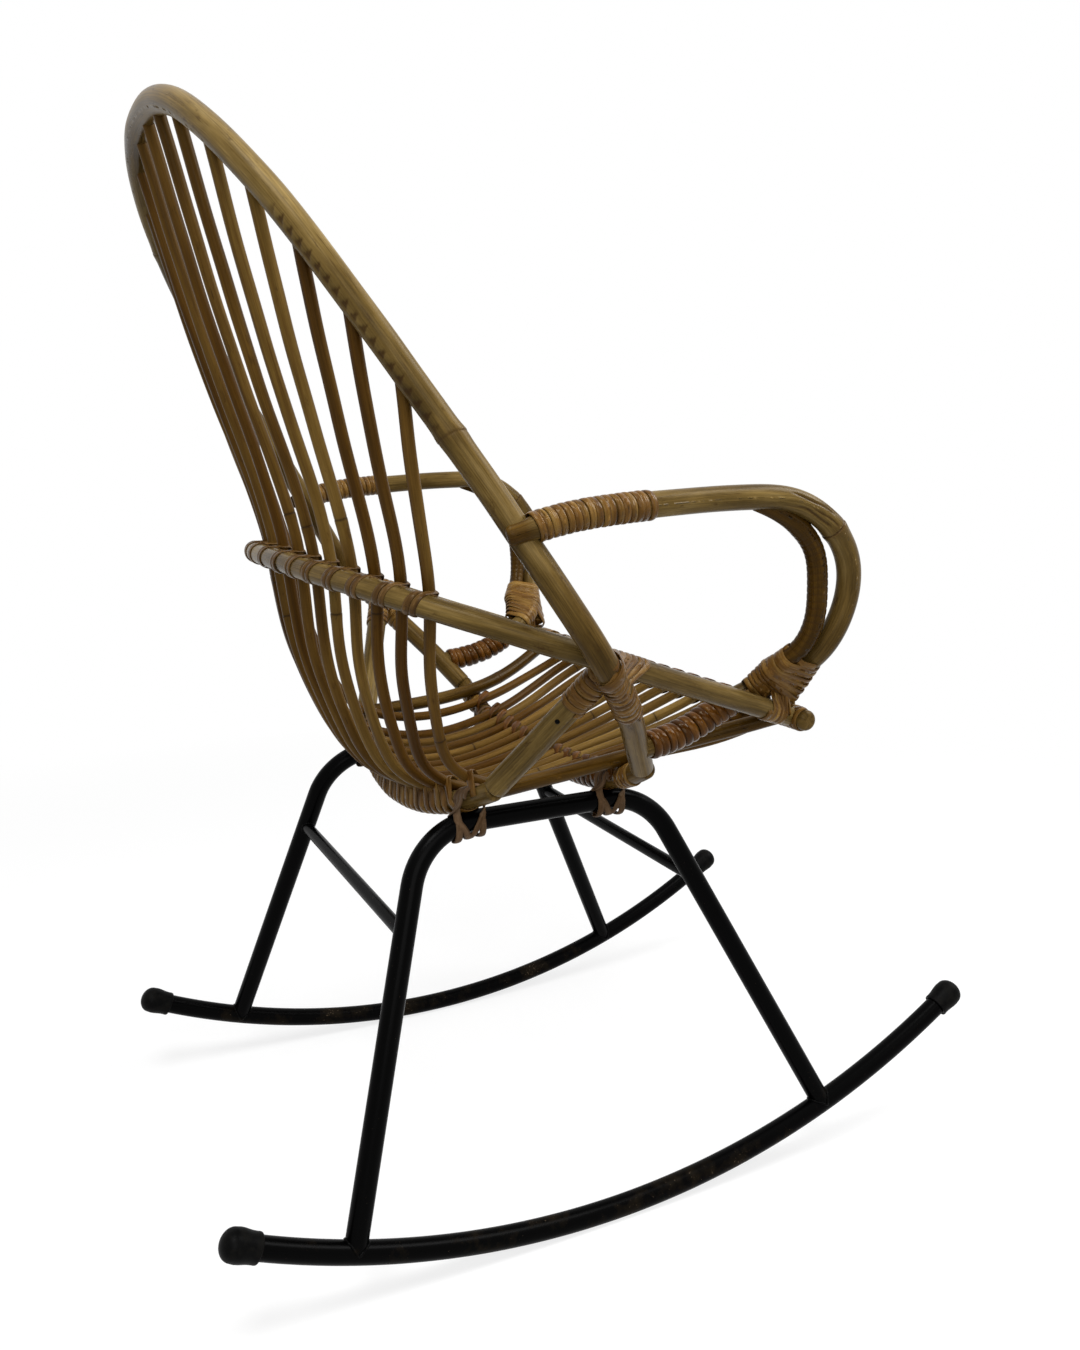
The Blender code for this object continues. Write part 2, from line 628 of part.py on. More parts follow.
bind("binding_belt", RAIL_FINE, RAIL_R, rail_stop, rail_in)
for word, bar in (("rear", REAR_BAR), ("front", FRONT_BAR)):
    bind(f"binding_crossbar_{word}", bar, BAR_R, lambda k: x_stop(bar, seat_x(k)), lambda k: (0, 0, 1))
bind("binding_front_edge", EDGE_BAR, BAR_R, lambda k: x_stop(EDGE_BAR, k * EDGE_PITCH), lambda k: EDGE_UNDER)

for word, side in SIDES.items():
    arm = arm_line(side, 300)
    out = (side, 0, 0)
    wrap(f"wrap_arm_rear_{word}", arm, ARM_REAR_FROM, ARM_REAR_TURNS, ARM_R, out)
    wrap(f"wrap_arm_lower_{word}", arm, ARM_LOWER_FROM, ARM_LOWER_TURNS, ARM_R, out)
    wrap(f"wrap_arm_front_{word}", arm, ARM_FRONT_FROM, ARM_FRONT_TURNS, ARM_R, out,
         inner_line(side, 100), INNER_R * ARC_SWELL, sides=8)
    cross = rail_at(side, RAIL_WIDE_Y)
    ahead = cross + JOINT_AHEAD if side > 0 else cross - JOINT_AHEAD - JOINT_TURNS * WRAP_PITCH
    wrap(f"wrap_joint_rail_{word}", RAIL_FINE, ahead, JOINT_TURNS, RAIL_R, out)
    low = nearest(HOOP_FINE, mirrored(raised(HOOP_SIDE[1]), side)) + side * HOOP_WRAP_BELOW
    low -= HOOP_WRAP_TURNS * WRAP_PITCH / 2
    wrap(f"wrap_joint_hoop_{word}", HOOP_FINE, low, HOOP_WRAP_TURNS, HOOP_R, out)
    brace = np.linspace(*brace_ends(side), 30)
    wrap(f"wrap_brace_{word}", brace, lengths(brace)[-1] * BRACE_WRAP_AT, JOINT_TURNS, BRACE_R, out)


def lash(name, bar, side):
    """Ties a crossbar to the steel: twice over the bar, twice under the tube."""
    x, y, _ = on_bar(bar, side * TOP_X)
    steel_line = frame_line(side)
    steel_line = steel_line[steel_line[:, 2] > TOP_Z - 3 * TUBE_R][::-1]
    over = (BAR_R + GAP + STRIP_T / 2) * LASH_OVER
    beside = over + LASH_ASIDE
    step = LASH_W / 2 + STRIP_T / 2

    def turn(a, b):
        """One pass, from the crown of the bar down the side b to the belly of the tube on the side a."""
        z = on_bar(bar, x + a * step)[2]
        slope = np.gradient(steel_line[:, 2], steel_line[:, 1])
        low = np.interp(y + b * beside, steel_line[:, 1], steel_line[:, 2])
        fall = np.interp(y + b * beside, steel_line[:, 1], abs(slope))
        under = (TUBE_R + GAP + STRIP_T / 2) * (LASH_UNDER + 0.5 * fall)
        return [((a * step, 0.0, z + over), (0, 0, 1)),
                ((a * step, b * beside, z + BAR_R * 0.5), (0, b, 0.3)),
                ((a * (step + STRIP_T), b * beside, z - BAR_R * 0.6), (0, b, 0)),
                ((a * under, b * beside, low + TUBE_R * 0.2), (a, 0.6 * b, 0)),
                ((a * under * 0.6, b * beside, low - under * 0.9), (0.4 * a, 0, -1))]

    path = turn(-1, 1) + turn(1, 1)[::-1] + turn(1, -1)[1:] + turn(-1, -1)[:0:-1]
    return ribbon(name, [(x + a, y + b, c) for (a, b, c), _ in path], [out for _, out in path], LASH_W)


for word, side in SIDES.items():
    lash(f"lashing_rear_{word}", REAR_BAR, side)
    lash(f"lashing_front_{word}", FRONT_BAR, side)
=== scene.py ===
"""Looks of a rattan rocking chair: varnished poles, canes and wound strips on an enamelled steel base.

Metres, +Z up. The sitter faces -Y, and the sitter's right is -X.
"""
from __future__ import annotations

import logging
import math
from dataclasses import dataclass, replace
from enum import Enum
from typing import Any, Callable, Sequence

import bmesh
import bpy
import numpy as np
from bpy.types import Material, Node, NodeSocket, NodeTree, Object
from mathutils import Matrix, Vector


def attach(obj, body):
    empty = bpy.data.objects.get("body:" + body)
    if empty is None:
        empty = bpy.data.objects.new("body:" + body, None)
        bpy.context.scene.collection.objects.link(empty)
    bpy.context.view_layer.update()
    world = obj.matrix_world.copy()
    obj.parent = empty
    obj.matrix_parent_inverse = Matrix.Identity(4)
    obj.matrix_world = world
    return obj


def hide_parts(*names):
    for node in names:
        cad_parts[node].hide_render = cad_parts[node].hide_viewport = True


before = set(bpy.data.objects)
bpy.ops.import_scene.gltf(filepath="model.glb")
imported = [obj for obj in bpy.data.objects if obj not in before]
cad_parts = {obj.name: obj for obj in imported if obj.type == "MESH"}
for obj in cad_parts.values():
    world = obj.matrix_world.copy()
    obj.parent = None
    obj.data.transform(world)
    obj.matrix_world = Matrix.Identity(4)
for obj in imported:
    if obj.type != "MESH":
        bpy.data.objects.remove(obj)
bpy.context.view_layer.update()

LOG = logging.getLogger("rattan_rocking_chair")
BODY = "root"
SIDES = {"right": -1, "left": 1}
MM = 0.001
# Inputs of a range node, in the order in which its limits are given
RANGE = ("From Min", "From Max", "To Min", "To Max")

Line = np.ndarray
Pair = tuple[float, float]
Triple = tuple[float, float, float]
Cut = tuple[np.ndarray, np.ndarray, np.ndarray]


class Slot(Enum):
    """Material slots of the record."""

    STEEL = "steel"
    RUBBER = "rubber"
    POLE = "pole"
    CANE = "cane"
    STRIP = "strip"


# Lines in space

def through(points: Sequence[Any], count: int = 0, steps: int = 0) -> Line:
    """Smooth line through a few points, as a natural cubic spline.

    Args:
        points: The points to pass.
        count: How many even points to return, or 0.
        steps: Steps between neighbouring points, where count is 0.

    Returns:
        The line's points, one a row.
    """
    p = np.array(points, float)
    t = lengths(p)
    h, n = np.diff(t), len(p)
    a, b = np.eye(n), np.zeros((n, 3))
    for i in range(1, n - 1):
        a[i, i - 1:i + 2] = h[i - 1], 2 * (h[i - 1] + h[i]), h[i]
        b[i] = 3 * ((p[i + 1] - p[i]) / h[i] - (p[i] - p[i - 1]) / h[i - 1])
    c = np.linalg.solve(a, b)
    s = np.linspace(0, t[-1], count)
    if not count:
        s = np.interp(np.arange((n - 1) * steps + 1) / steps, range(n), t)
    k = np.clip(np.searchsorted(t, s, side="right") - 1, 0, n - 2)
    u, hk = (s - t[k])[:, None], h[k][:, None]
    slope = (p[k + 1] - p[k]) / hk - hk * (2 * c[k] + c[k + 1]) / 3
    return p[k] + slope * u + c[k] * u ** 2 + (c[k + 1] - c[k]) / (3 * hk) * u ** 3


def lengths(line: Line) -> np.ndarray:
    """Distance along a line at each of its points."""
    return np.concatenate([[0.0], np.cumsum(np.linalg.norm(np.diff(line, axis=0), axis=1))])


def unit(v: np.ndarray) -> np.ndarray:
    """Vectors of length one."""
    return v / np.linalg.norm(v, axis=-1, keepdims=True)


def at(line: Line, s: Any) -> tuple[np.ndarray, np.ndarray]:
    """Where a line is and which way it runs.

    Args:
        line: The line.
        s: One distance along it, or several.

    Returns:
        The points and the directions at those distances.
    """
    run = lengths(line)
    here = np.stack([np.interp(s, run, line[:, i]) for i in range(3)], -1)
    slope = np.gradient(line, run, axis=0)
    return here, unit(np.stack([np.interp(s, run, slope[:, i]) for i in range(3)], -1))


def frames(line: Line, s: Any, up: Any) -> tuple[np.ndarray, np.ndarray, np.ndarray, np.ndarray]:
    """Places on a line, each with three directions square to each other.

    Args:
        line: The line.
        s: One distance along it, or several.
        up: A direction that the line never takes.

    Returns:
        The places, and there the direction along the line, the one towards up, and the third.
    """
    here, way = at(line, s)
    up = np.broadcast_to(np.array(up, float), here.shape)
    u = unit(up - way * np.sum(up * way, axis=-1, keepdims=True))
    return here, way, u, np.cross(way, u)


def nearest(line: Line, point: Any) -> float:
    """How far along a line it passes a point."""
    return float(lengths(line)[np.argmin(np.linalg.norm(line - np.array(point), axis=1))])


def mirrored(points: Any, side: int) -> np.ndarray:
    """Points given for the left side, on the side that is asked for."""
    return np.array(points, float) * (side, 1, 1)


def towards(start: Any, goal: Any, distance: float) -> np.ndarray:
    """A point this far from start on the way to goal."""
    start, goal = np.array(start, float), np.array(goal, float)
    return start + unit(goal - start) * distance


def taut(t: np.ndarray, heights: np.ndarray) -> np.ndarray:
    """Heights of a strip that is pulled tight over the given ones: their upper hull.

    Args:
        t: Distances along the strip's plan, rising.
        heights: What the strip has to clear there.

    Returns:
        One height for each distance.
    """
    keep: list[int] = []
    for i in range(len(t)):
        while len(keep) > 1:
            o, a = keep[-2], keep[-1]
            if (t[a] - t[o]) * (heights[i] - heights[o]) < (heights[a] - heights[o]) * (t[i] - t[o]):
                break
            keep.pop()
        keep.append(i)
    return np.interp(t, t[keep], heights[keep])


def waver(s: np.ndarray, name: str, wave: float) -> np.ndarray:
    """Smooth chance variation along a piece, within about -1 to 1.

    Args:
        s: Distances along the piece.
        name: Seeds the chance, so that each piece has its own.
        wave: Length of the longest wave.

    Returns:
        One value for each distance.
    """
    rng = np.random.default_rng(sum(ord(c) * (i + 1) for i, c in enumerate(name)))
    shares = (1.0, 0.57, 0.31)
    waves = [share * np.sin(2 * math.pi * (s / (wave * share) + rng.random())) for share in shares]
    return sum(waves) / sum(shares)


def rise(x: np.ndarray, start: Any, span: float) -> np.ndarray:
    """From 0 at start to 1 one span further on, or further back where the span is below 0."""
    return np.clip((x - start) / span, 0, 1)


def bell(x: np.ndarray, wide: float) -> np.ndarray:
    """1 at 0, fading to both sides over about the given width."""
    return np.exp(-(x / wide) ** 2)


def grain_from(name: str, kinds: int, step: float) -> float:
    """Where a piece's grain starts, so that neighbours differ."""
    return (sum(map(ord, name)) % kinds) * step


# Meshes

def sweep(name: str, rings: np.ndarray, along: np.ndarray, marks: dict[str, np.ndarray]) -> Object:
    """A closed skin through rings of points: a grid rolled up, its seam merged and its ends filled.

    The UV map holds turns round the piece and metres along it.

    Args:
        name: The object's name.
        rings: Points of every ring, by ring, place in the ring and axis.
        along: Distance along the piece at each ring.
        marks: Point attributes by name, one value a ring, or by ring and place in the ring.

    Returns:
        The object, linked to the scene.
    """
    count, sides = rings.shape[:2]
    bm = bmesh.new()
    uv = bm.loops.layers.uv.new("UVMap")
    bmesh.ops.create_grid(bm, x_segments=sides, y_segments=count - 1, size=1.0)
    layers = {key: bm.verts.layers.float.new(key) for key in marks}
    spread = {key: np.broadcast_to(v if v.ndim == 2 else v[:, None], (count, sides))
              for key, v in marks.items()}
    place = {}
    for v in bm.verts:
        col, row = round((v.co.x + 1) / 2 * sides), round((v.co.y + 1) / 2 * (count - 1))
        place[v] = (col / sides, along[row])
        v.co = rings[row, col % sides]
        for key, layer in layers.items():
            v[layer] = spread[key][row, col % sides]
    for face in bm.faces:
        face.smooth = True
        for loop in face.loops:
            loop[uv].uv = place[loop.vert]
    bmesh.ops.remove_doubles(bm, verts=bm.verts, dist=1e-8)
    bmesh.ops.holes_fill(bm, edges=[e for e in bm.edges if e.is_boundary], sides=0)
    bmesh.ops.recalc_face_normals(bm, faces=bm.faces)
    return as_object(name, bm)


def as_object(name: str, bm: bmesh.types.BMesh) -> Object:
    """Turns a bmesh into an object of the scene and frees it.

    Args:
        name: The object's name.
        bm: The bmesh.

    Returns:
        The object, linked to the scene.
    """
    mesh = bpy.data.meshes.new(name)
    bm.to_mesh(mesh)
    bm.free()
    obj = bpy.data.objects.new(name, mesh)
    bpy.context.scene.collection.objects.link(obj)
    return obj


def turned(name: str, outline: Sequence[Pair], place: Any, way: Any, steps: int) -> Object:
    """A piece turned about an axis.

    Args:
        name: The object's name.
        outline: Distances from the axis and along it, from the nose back.
        place: Where the outline's zero lies.
        way: Direction of the axis, out of the nose.
        steps: Faces round the piece.

    Returns:
        The object, linked to the scene.
    """
    bm = bmesh.new()
    verts = [bm.verts.new((a, 0, z)) for a, z in outline]
    edges = [bm.edges.new(pair) for pair in zip(verts, verts[1:])]
    bmesh.ops.spin(bm, geom=verts + edges, cent=(0, 0, 0), axis=(0, 0, 1), angle=2 * math.pi, steps=steps,
                   use_merge=True)
    bmesh.ops.remove_doubles(bm, verts=bm.verts, dist=1e-6)
    bmesh.ops.holes_fill(bm, edges=[e for e in bm.edges if e.is_boundary], sides=0)
    bmesh.ops.recalc_face_normals(bm, faces=bm.faces)
    for face in bm.faces:
        face.smooth = True
    bm.transform(Vector((0, 0, 1)).rotation_difference(Vector(way)).to_matrix().to_4x4())
    bmesh.ops.translate(bm, verts=bm.verts, vec=Vector(place))
    return as_object(name, bm)


def settle(obj: Object, look: Material, slot: Slot, *nodes: str) -> Object:
    """Dresses a piece and ties it to the chair.

    Args:
        obj: The piece.
        look: Its material.
        slot: The record's slot that its finish belongs to; not used.
        nodes: The solids that it stands for.

    Returns:
        The piece.
    """
    obj.data.materials.clear()
    obj.data.materials.append(look)
    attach(obj, BODY)
    if nodes:
        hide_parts(*nodes)
    LOG.info("%s: %d faces, for %s", obj.name, len(obj.data.polygons), ", ".join(nodes) or "itself")
    return obj


@dataclass
class Pole:
    """A round rod along a line, with the leaf rings, swellings and slight waver of a grown stem.

    Attributes:
        name: Name of the piece.
        line: Centre line.
        radius: Mean radius.
        up: A direction that the line never takes, from which the turns are counted.
        sides: Faces round the rod.
        step: Length of a face along the rod.
        soft: Rounding of both ends.
        rings: Distances along the line at which leaves once grew.
        swell: Share by which the rod thickens at a leaf ring.
        ring_line: How strongly the line of a leaf ring shows, from 0 to 1.
        ring_slant: How far a leaf ring runs along the rod, to each side of its middle.
        wobble: How far the centre line strays.
        uneven: Share by which the radius strays.
        flat: Width, thickness and shift towards up, by distance, where the rod is cut flat.
        tint: Tone of the piece, from 0, brown, to 1, olive, everywhere or by distance.
        dents: Depth of the dents by distance and turn, from 0 to 1, which also sets the painted shade in
            them.
        dent_deep: Depth of the deepest dent.
    """

    name: str
    line: Line
    radius: float
    up: Triple
    sides: int = 24
    step: float = 0.004
    soft: float = 0.003
    rings: Sequence[float] = ()
    swell: float = 0.045
    ring_line: float = 1.0
    ring_slant: float = 0.0
    wobble: float = 0.0
    uneven: float = 0.0
    flat: Callable[[np.ndarray], Cut] | None = None
    tint: float | Callable[[np.ndarray], np.ndarray] = 0.62
    dents: Callable[[np.ndarray, np.ndarray], np.ndarray] | None = None
    dent_deep: float = 0.0009

    # Waves in which the centre line, the radius and the tone stray, and how far the tone does
    LINE_WAVES = {"u": 0.21, "v": 0.26}
    RADIUS_WAVE = 0.33
    TINT_WAVE = 0.45
    TINT_STRAY = 0.13
    # Length at each end over which the centre line starts to stray
    STRAY_FROM = 0.03
    # Half widths of a leaf ring's swelling, cut, line and painted shade
    SWELL_WIDE = 0.007
    CUT_WIDE = 0.0008
    LINE_WIDE = 0.0009
    SHADE_WIDE = 0.006
    # Shares: swelling before the ring, depth of the cut, strength of the painted shade
    SWELL_BEFORE = 0.55
    CUT_DEEP = 0.6
    SHADE = 0.22
    # Turn at which a slanted leaf ring reaches furthest along
    SLANT_TURN = 0.8
    # Distances from a leaf ring at which the mesh is crowded, its least step, and the steps of a rounded end
    CROWD_MM = (0, 0.25, 0.6, 1.0, 1.6, 2.6, 4, 6, 9)
    LEAST_MM = 0.1
    END_STEPS = 6

    def stations(self) -> np.ndarray:
        """Places the rings of points: evenly, and crowded at the ends and at the leaf rings.

        Returns:
            Their distances along the rod.
        """
        whole = lengths(self.line)[-1]
        end = self.soft * (1 - np.cos(np.linspace(0, math.pi / 2, self.END_STEPS + 1)))[:-1]
        main = np.linspace(self.soft, whole - self.soft, max(2, round(whole / self.step)))
        half = np.array(self.CROWD_MM) * MM
        crowd = np.concatenate([-half[:0:-1], half])
        s = np.concatenate([main, *[c + crowd for c in self.rings]])
        s = np.sort(s[(s >= self.soft) & (s <= whole - self.soft)])
        keep = np.concatenate([[True], np.diff(s) > self.LEAST_MM * MM])
        return np.concatenate([end, s[keep], whole - end[::-1]])

    def build(self) -> Object:
        """Makes the rod.

        Returns:
            The object, without a finish.
        """
        s = self.stations()
        whole = s[-1]
        depth = np.minimum(s, whole - s)
        here, _, u, v = frames(self.line, s, self.up)
        for key, axis in (("u", u), ("v", v)):
            stray = waver(s, self.name + key, self.LINE_WAVES[key]) * rise(depth, 0, self.STRAY_FROM)
            here = here + self.wobble * stray[:, None] * axis
        turn = 2 * math.pi * np.arange(self.sides) / self.sides
        size = self.radius * (1 + self.uneven * waver(s, self.name, self.RADIUS_WAVE))[:, None]
        ring_and_shade = np.zeros((len(s), self.sides))
        for c in self.rings:
            off = s[:, None] - c - self.ring_slant * np.cos(turn - self.SLANT_TURN)
            behind = np.where(off > 0, 1.0, self.SWELL_BEFORE)
            size = size * (1 + self.swell * bell(off, self.SWELL_WIDE) * behind)
            size = size * (1 - self.CUT_DEEP * self.ring_line * self.swell * bell(off, self.CUT_WIDE))
            # A leaf ring's mark: its dark line, and a wider band of painted shade beside the swelling
            line = self.ring_line * bell(off, self.LINE_WIDE)
            ring_and_shade = np.maximum(ring_and_shade, line + self.SHADE * bell(off, self.SHADE_WIDE))
        inside = np.clip(1 - depth / self.soft, 0, 1)
        size = size - self.soft * (1 - np.sqrt(1 - inside ** 2))[:, None]
        wide, thin, shift = np.ones_like(s), np.ones_like(s), np.zeros_like(s)
        if self.flat:
            wide, thin, shift = self.flat(s)
        cos, sin = np.cos(turn)[None, :, None], np.sin(turn)[None, :, None]
        dent_and_shade = self.dents(s[:, None], turn[None]) if self.dents else np.zeros((len(s), self.sides))
        size = (size - self.dent_deep * dent_and_shade)[..., None]
        rings = (here + shift[:, None] * u)[:, None] + size * (
            cos * thin[:, None, None] * u[:, None] + sin * wide[:, None, None] * v[:, None])
        tint = self.tint(s) if callable(self.tint) else self.tint
        tint = tint + self.TINT_STRAY * waver(s, self.name + "t", self.TINT_WAVE)
        marks = {"leaf_ring_and_shade": np.clip(ring_and_shade, 0, 1), "dent_and_shade": dent_and_shade, "tint": np.clip(tint, 0, 1)}
        return sweep(self.name, rings, s + grain_from(self.name, 89, 0.37), marks)


@dataclass
class Strip:
    """A split-cane strip, flat below and domed above, laid along points.

    Attributes:
        name: Name of the piece.
        wide: Its width.
        thick: Its thickness in the middle.
    """

    name: str
    wide: float
    thick: float

    # Half of the strip's section: share of half the width, share of the thickness
    SECTION = ((0.0, 1.0), (0.42, 0.93), (0.78, 0.70), (0.97, 0.34), (0.93, 0.06), (0.5, 0.0))
    # Share of half the width at which the painted shade at the edge starts
    EDGE_SHADE_FROM = 0.6
    # How far the width, the thickness and the tone stray, and in what waves
    WIDE_STRAY, WIDE_WAVE = 0.07, 0.05
    THICK_STRAY, THICK_WAVE = 0.10, 0.04
    TINT_STRAY, TINT_WAVE = 0.3, 0.16
    TINT = 0.5

    def build(self, points: np.ndarray, outs: np.ndarray) -> Object:
        """Lays the strip.

        Args:
            points: Where the middle of its underside lies.
            outs: Which way its top faces there.

        Returns:
            The object, without a finish.
        """
        s = lengths(points)
        run = unit(np.gradient(points, s, axis=0))
        across = unit(np.cross(run, outs))
        out = np.cross(across, run)
        other = [(-a, h) for a, h in reversed(self.SECTION[1:])]
        a, h = np.array([*self.SECTION, (0.0, 0.0), *other]).T[:, None, :, None]
        width = self.wide * (1 + self.WIDE_STRAY * waver(s, self.name + "w", self.WIDE_WAVE))
        height = self.thick * (1 + self.THICK_STRAY * waver(s, self.name + "h", self.THICK_WAVE))
        rings = (points[:, None] + a * width[:, None, None] / 2 * across[:, None]
                 + h * height[:, None, None] * out[:, None])
        tint = self.TINT + self.TINT_STRAY * waver(s, self.name + "t", self.TINT_WAVE)
        marks = {"strip_edge": rise(abs(a[..., 0]), self.EDGE_SHADE_FROM, 1 - self.EDGE_SHADE_FROM),
                 "tint": np.clip(tint, 0, 1)}
        return sweep(self.name, rings, s + grain_from(self.name, 83, 0.41), marks)


# Materials

def linear(code: str) -> tuple[float, float, float, float]:
    """Turns an sRGB colour into a linear one.

    Args:
        code: The colour as a hash mark and six hex digits.

    Returns:
        Linear red, green and blue, and an alpha of 1.
    """
    parts = [int(code[i:i + 2], 16) / 255 for i in (1, 3, 5)]
    red, green, blue = [p / 12.92 if p <= 0.04045 else ((p + 0.055) / 1.055) ** 2.4 for p in parts]
    return red, green, blue, 1.0


def wire(tree: NodeTree, node: Node, values: dict[Any, Any], links: dict[Any, Any]) -> None:
    """Fills a node's inputs.

    Args:
        tree: The tree that the node stands in.
        node: The node.
        values: Values by input name or number.
        links: Outputs, or nodes for their first output, likewise.
    """
    for key, value in values.items():
        node.inputs[key].default_value = value
    for key, source in links.items():
        output = source.outputs[0] if isinstance(source, Node) else source
        tree.links.new(output, node.inputs[key])


def add_node(tree: NodeTree, kind: str, values: dict[Any, Any] | None = None,
             links: dict[Any, Any] | None = None, **settings: Any) -> Node:
    """Adds a node with its settings and links.

    Args:
        tree: The material's tree.
        kind: Short name of the node's type.
        values: Values by input name or number.
        links: Outputs, or nodes for their first output, likewise.
        settings: Properties of the node.

    Returns:
        The node.
    """
    made = tree.nodes.new("ShaderNode" + kind)
    for key, value in settings.items():
        setattr(made, key, value)
    wire(tree, made, values or {}, links or {})
    return made


def set_ramp(ramp: Node, stops: Sequence[tuple[float, str]]) -> NodeSocket:
    """Gives a colour ramp its stops.

    Args:
        ramp: The ramp's node.
        stops: Place and hex colour of each stop, in order.

    Returns:
        The ramp's colour output.
    """
    elements = ramp.color_ramp.elements
    while len(elements) < len(stops):
        elements.new(0.5)
    for element, (place, code) in zip(elements, stops):
        element.position = place
        element.color = linear(code)
    return ramp.outputs["Color"]


def new_material(name: str) -> tuple[Material, NodeTree, Node]:
    """Starts a material.

    Args:
        name: What the material is.

    Returns:
        The material, its tree and its main shader.
    """
    mat = bpy.data.materials.new(name)
    mat.use_nodes = True
    return mat, mat.node_tree, mat.node_tree.nodes["Principled BSDF"]


@dataclass(frozen=True)
class Rattan:
    """Rattan under varnish: fine fibres, cloudy tones, scuffs, dark flecks, dents and leaf rings, with
    painted shade in the dents, beside the rings and between a strip's turns.

    Attributes:
        name: What the material is.
        tones: Cloudy colours from dark to light.
        brown: What the tones are multiplied by where the tint is 0; they stay as they are where it is 1.
        fleck: Colour of dark flecks, and of the painted shade in dents and at the edges of a strip.
        ring: Colour of the leaf rings and of the painted shade beside them.
        radius_mm: Radius round which the pattern is rolled.
        fibre_mm: Width and length of a fibre.
        cloud_mm: Width and length of a cloud of tone.
        fleck_mm: Width and length of a fleck.
        flecks: Share of the surface that is flecked, from 0 to 1.
        scuff_mm: Width and length of a scuff.
        scuffs: How strongly scuffs show, from 0 to 1.
        streak: How strongly the fibres show in the colour.
        rough: Roughness between the fibres and on them.
        gloss: Specular level of the varnish.
        varnish: Colour that the varnish gives its highlights.
        bump_mm: Height of a fibre.
        edge: How much painted shade darkens the edges of a strip, where its turns meet.
    """

    name: str
    tones: tuple[str, str, str, str]
    brown: str
    fleck: str
    ring: str
    radius_mm: float
    fibre_mm: Pair = (0.6, 60.0)
    cloud_mm: Pair = (13.0, 90.0)
    fleck_mm: Pair = (1.2, 14.0)
    flecks: float = 0.25
    scuff_mm: Pair = (8.0, 24.0)
    scuffs: float = 0.0
    streak: float = 0.22
    rough: Pair = (0.26, 0.42)
    gloss: float = 0.30
    varnish: str = "#FFF0CE"
    bump_mm: float = 0.05
    edge: float = 0.0

    def material(self) -> Material:
        """Makes the material.

        Returns:
            The material.
        """
        mat, tree, shader = new_material(self.name)
        uv = add_node(tree, "UVMap", uv_map="UVMap")
        split = add_node(tree, "SeparateXYZ", links={0: uv}).outputs
        turn = add_node(tree, "Math", {1: 2 * math.pi}, {0: split["X"]}, operation="MULTIPLY")
        cos = add_node(tree, "Math", links={0: turn}, operation="COSINE")
        sin = add_node(tree, "Math", links={0: turn}, operation="SINE")
        # The map is rolled up round the stem, so that the patterns have no seam
        rolled = add_node(tree, "CombineXYZ", links={0: cos, 1: sin, 2: split["Y"]})
        # Width and length in millimetres, detail and roughness of each pattern
        patterns = {"fibre": (self.fibre_mm, 3.0, 0.6), "cloud": (self.cloud_mm, 5.0, 0.6),
                    "fleck": (self.fleck_mm, 2.0, 0.5), "scuff": (self.scuff_mm, 5.0, 0.7)}
        noise = {}
        for key, ((wide, long), detail, coarse) in patterns.items():
            scale = (self.radius_mm / wide, self.radius_mm / wide, 1 / (long * MM))
            stretch = add_node(tree, "Mapping", {"Scale": scale}, {"Vector": rolled})
            noise[key] = add_node(tree, "TexNoise", {"Scale": 1.0, "Detail": detail, "Roughness": coarse},
                                  {"Vector": stretch})
        marks = {key: add_node(tree, "Attribute", attribute_name=key).outputs["Fac"]
                 for key in ("tint", "leaf_ring_and_shade", "strip_edge", "dent_and_shade")}
        # The pattern that each effect comes from, the stretch of it that counts, and the effect at both ends
        fewer = 0.2 * self.flecks
        ranges = {"shade": ("fibre", 0.3, 0.7, 1 - self.streak, 1 + 0.6 * self.streak),
                  "spots": ("fleck", 0.74 - fewer, 0.84 - fewer, 0.0, 0.7),
                  "scuffs": ("scuff", 0.61, 0.67, 0.0, self.scuffs),
                  "broken": ("fibre", 0.25, 0.6, 0.3, 0.9),
                  "rough": ("cloud", 0.3, 0.7, *self.rough)}
        effect = {key: add_node(tree, "MapRange", dict(zip(RANGE, limits)), {"Value": noise[pattern]})
                  for key, (pattern, *limits) in ranges.items()}
        # The leaf ring's line and its painted shade, broken up by the fibres
        ring = add_node(tree, "Math", links={0: marks["leaf_ring_and_shade"], 1: effect["broken"]},
                        operation="MULTIPLY")
        # How much painted shade darkens a strip's edges
        edge = add_node(tree, "Math", {1: self.edge}, {0: marks["strip_edge"]}, operation="MULTIPLY")
        # Painted shade in dents, cracks and creases, and at a strip's edges, darkens towards the fleck
        # colour
        dark = add_node(tree, "Math", {1: 0.8}, {0: marks["dent_and_shade"], 2: edge}, operation="MULTIPLY_ADD")
        colour = set_ramp(add_node(tree, "ValToRGB", links={0: noise["cloud"]}),
                          list(zip((0.30, 0.44, 0.56, 0.72), self.tones)))
        tint = set_ramp(add_node(tree, "ValToRGB", links={0: marks["tint"]}),
                        [(0.1, self.brown), (0.9, "#FFFFFF")])
        grey = add_node(tree, "CombineColor", links=dict.fromkeys(range(3), effect["shade"]))
        for factor in (tint, grey):
            colour = add_node(tree, "Mix", {"Factor": 1.0}, {"A": colour, "B": factor}, data_type="RGBA",
                              blend_type="MULTIPLY").outputs["Result"]
        for share, code in ((effect["spots"], self.fleck), (effect["scuffs"], self.fleck),
                            (ring, self.ring), (dark, self.fleck)):
            colour = add_node(tree, "Mix", {"B": linear(code)}, {"Factor": share, "A": colour},
                              data_type="RGBA").outputs["Result"]
        relief = add_node(tree, "Bump", {"Strength": 0.6, "Distance": self.bump_mm * MM},
                          {"Height": noise["fibre"]})
        wire(tree, shader,
             {"IOR": 1.5, "Specular IOR Level": self.gloss, "Specular Tint": linear(self.varnish)},
             {"Base Color": colour, "Roughness": effect["rough"], "Normal": relief})
        return mat


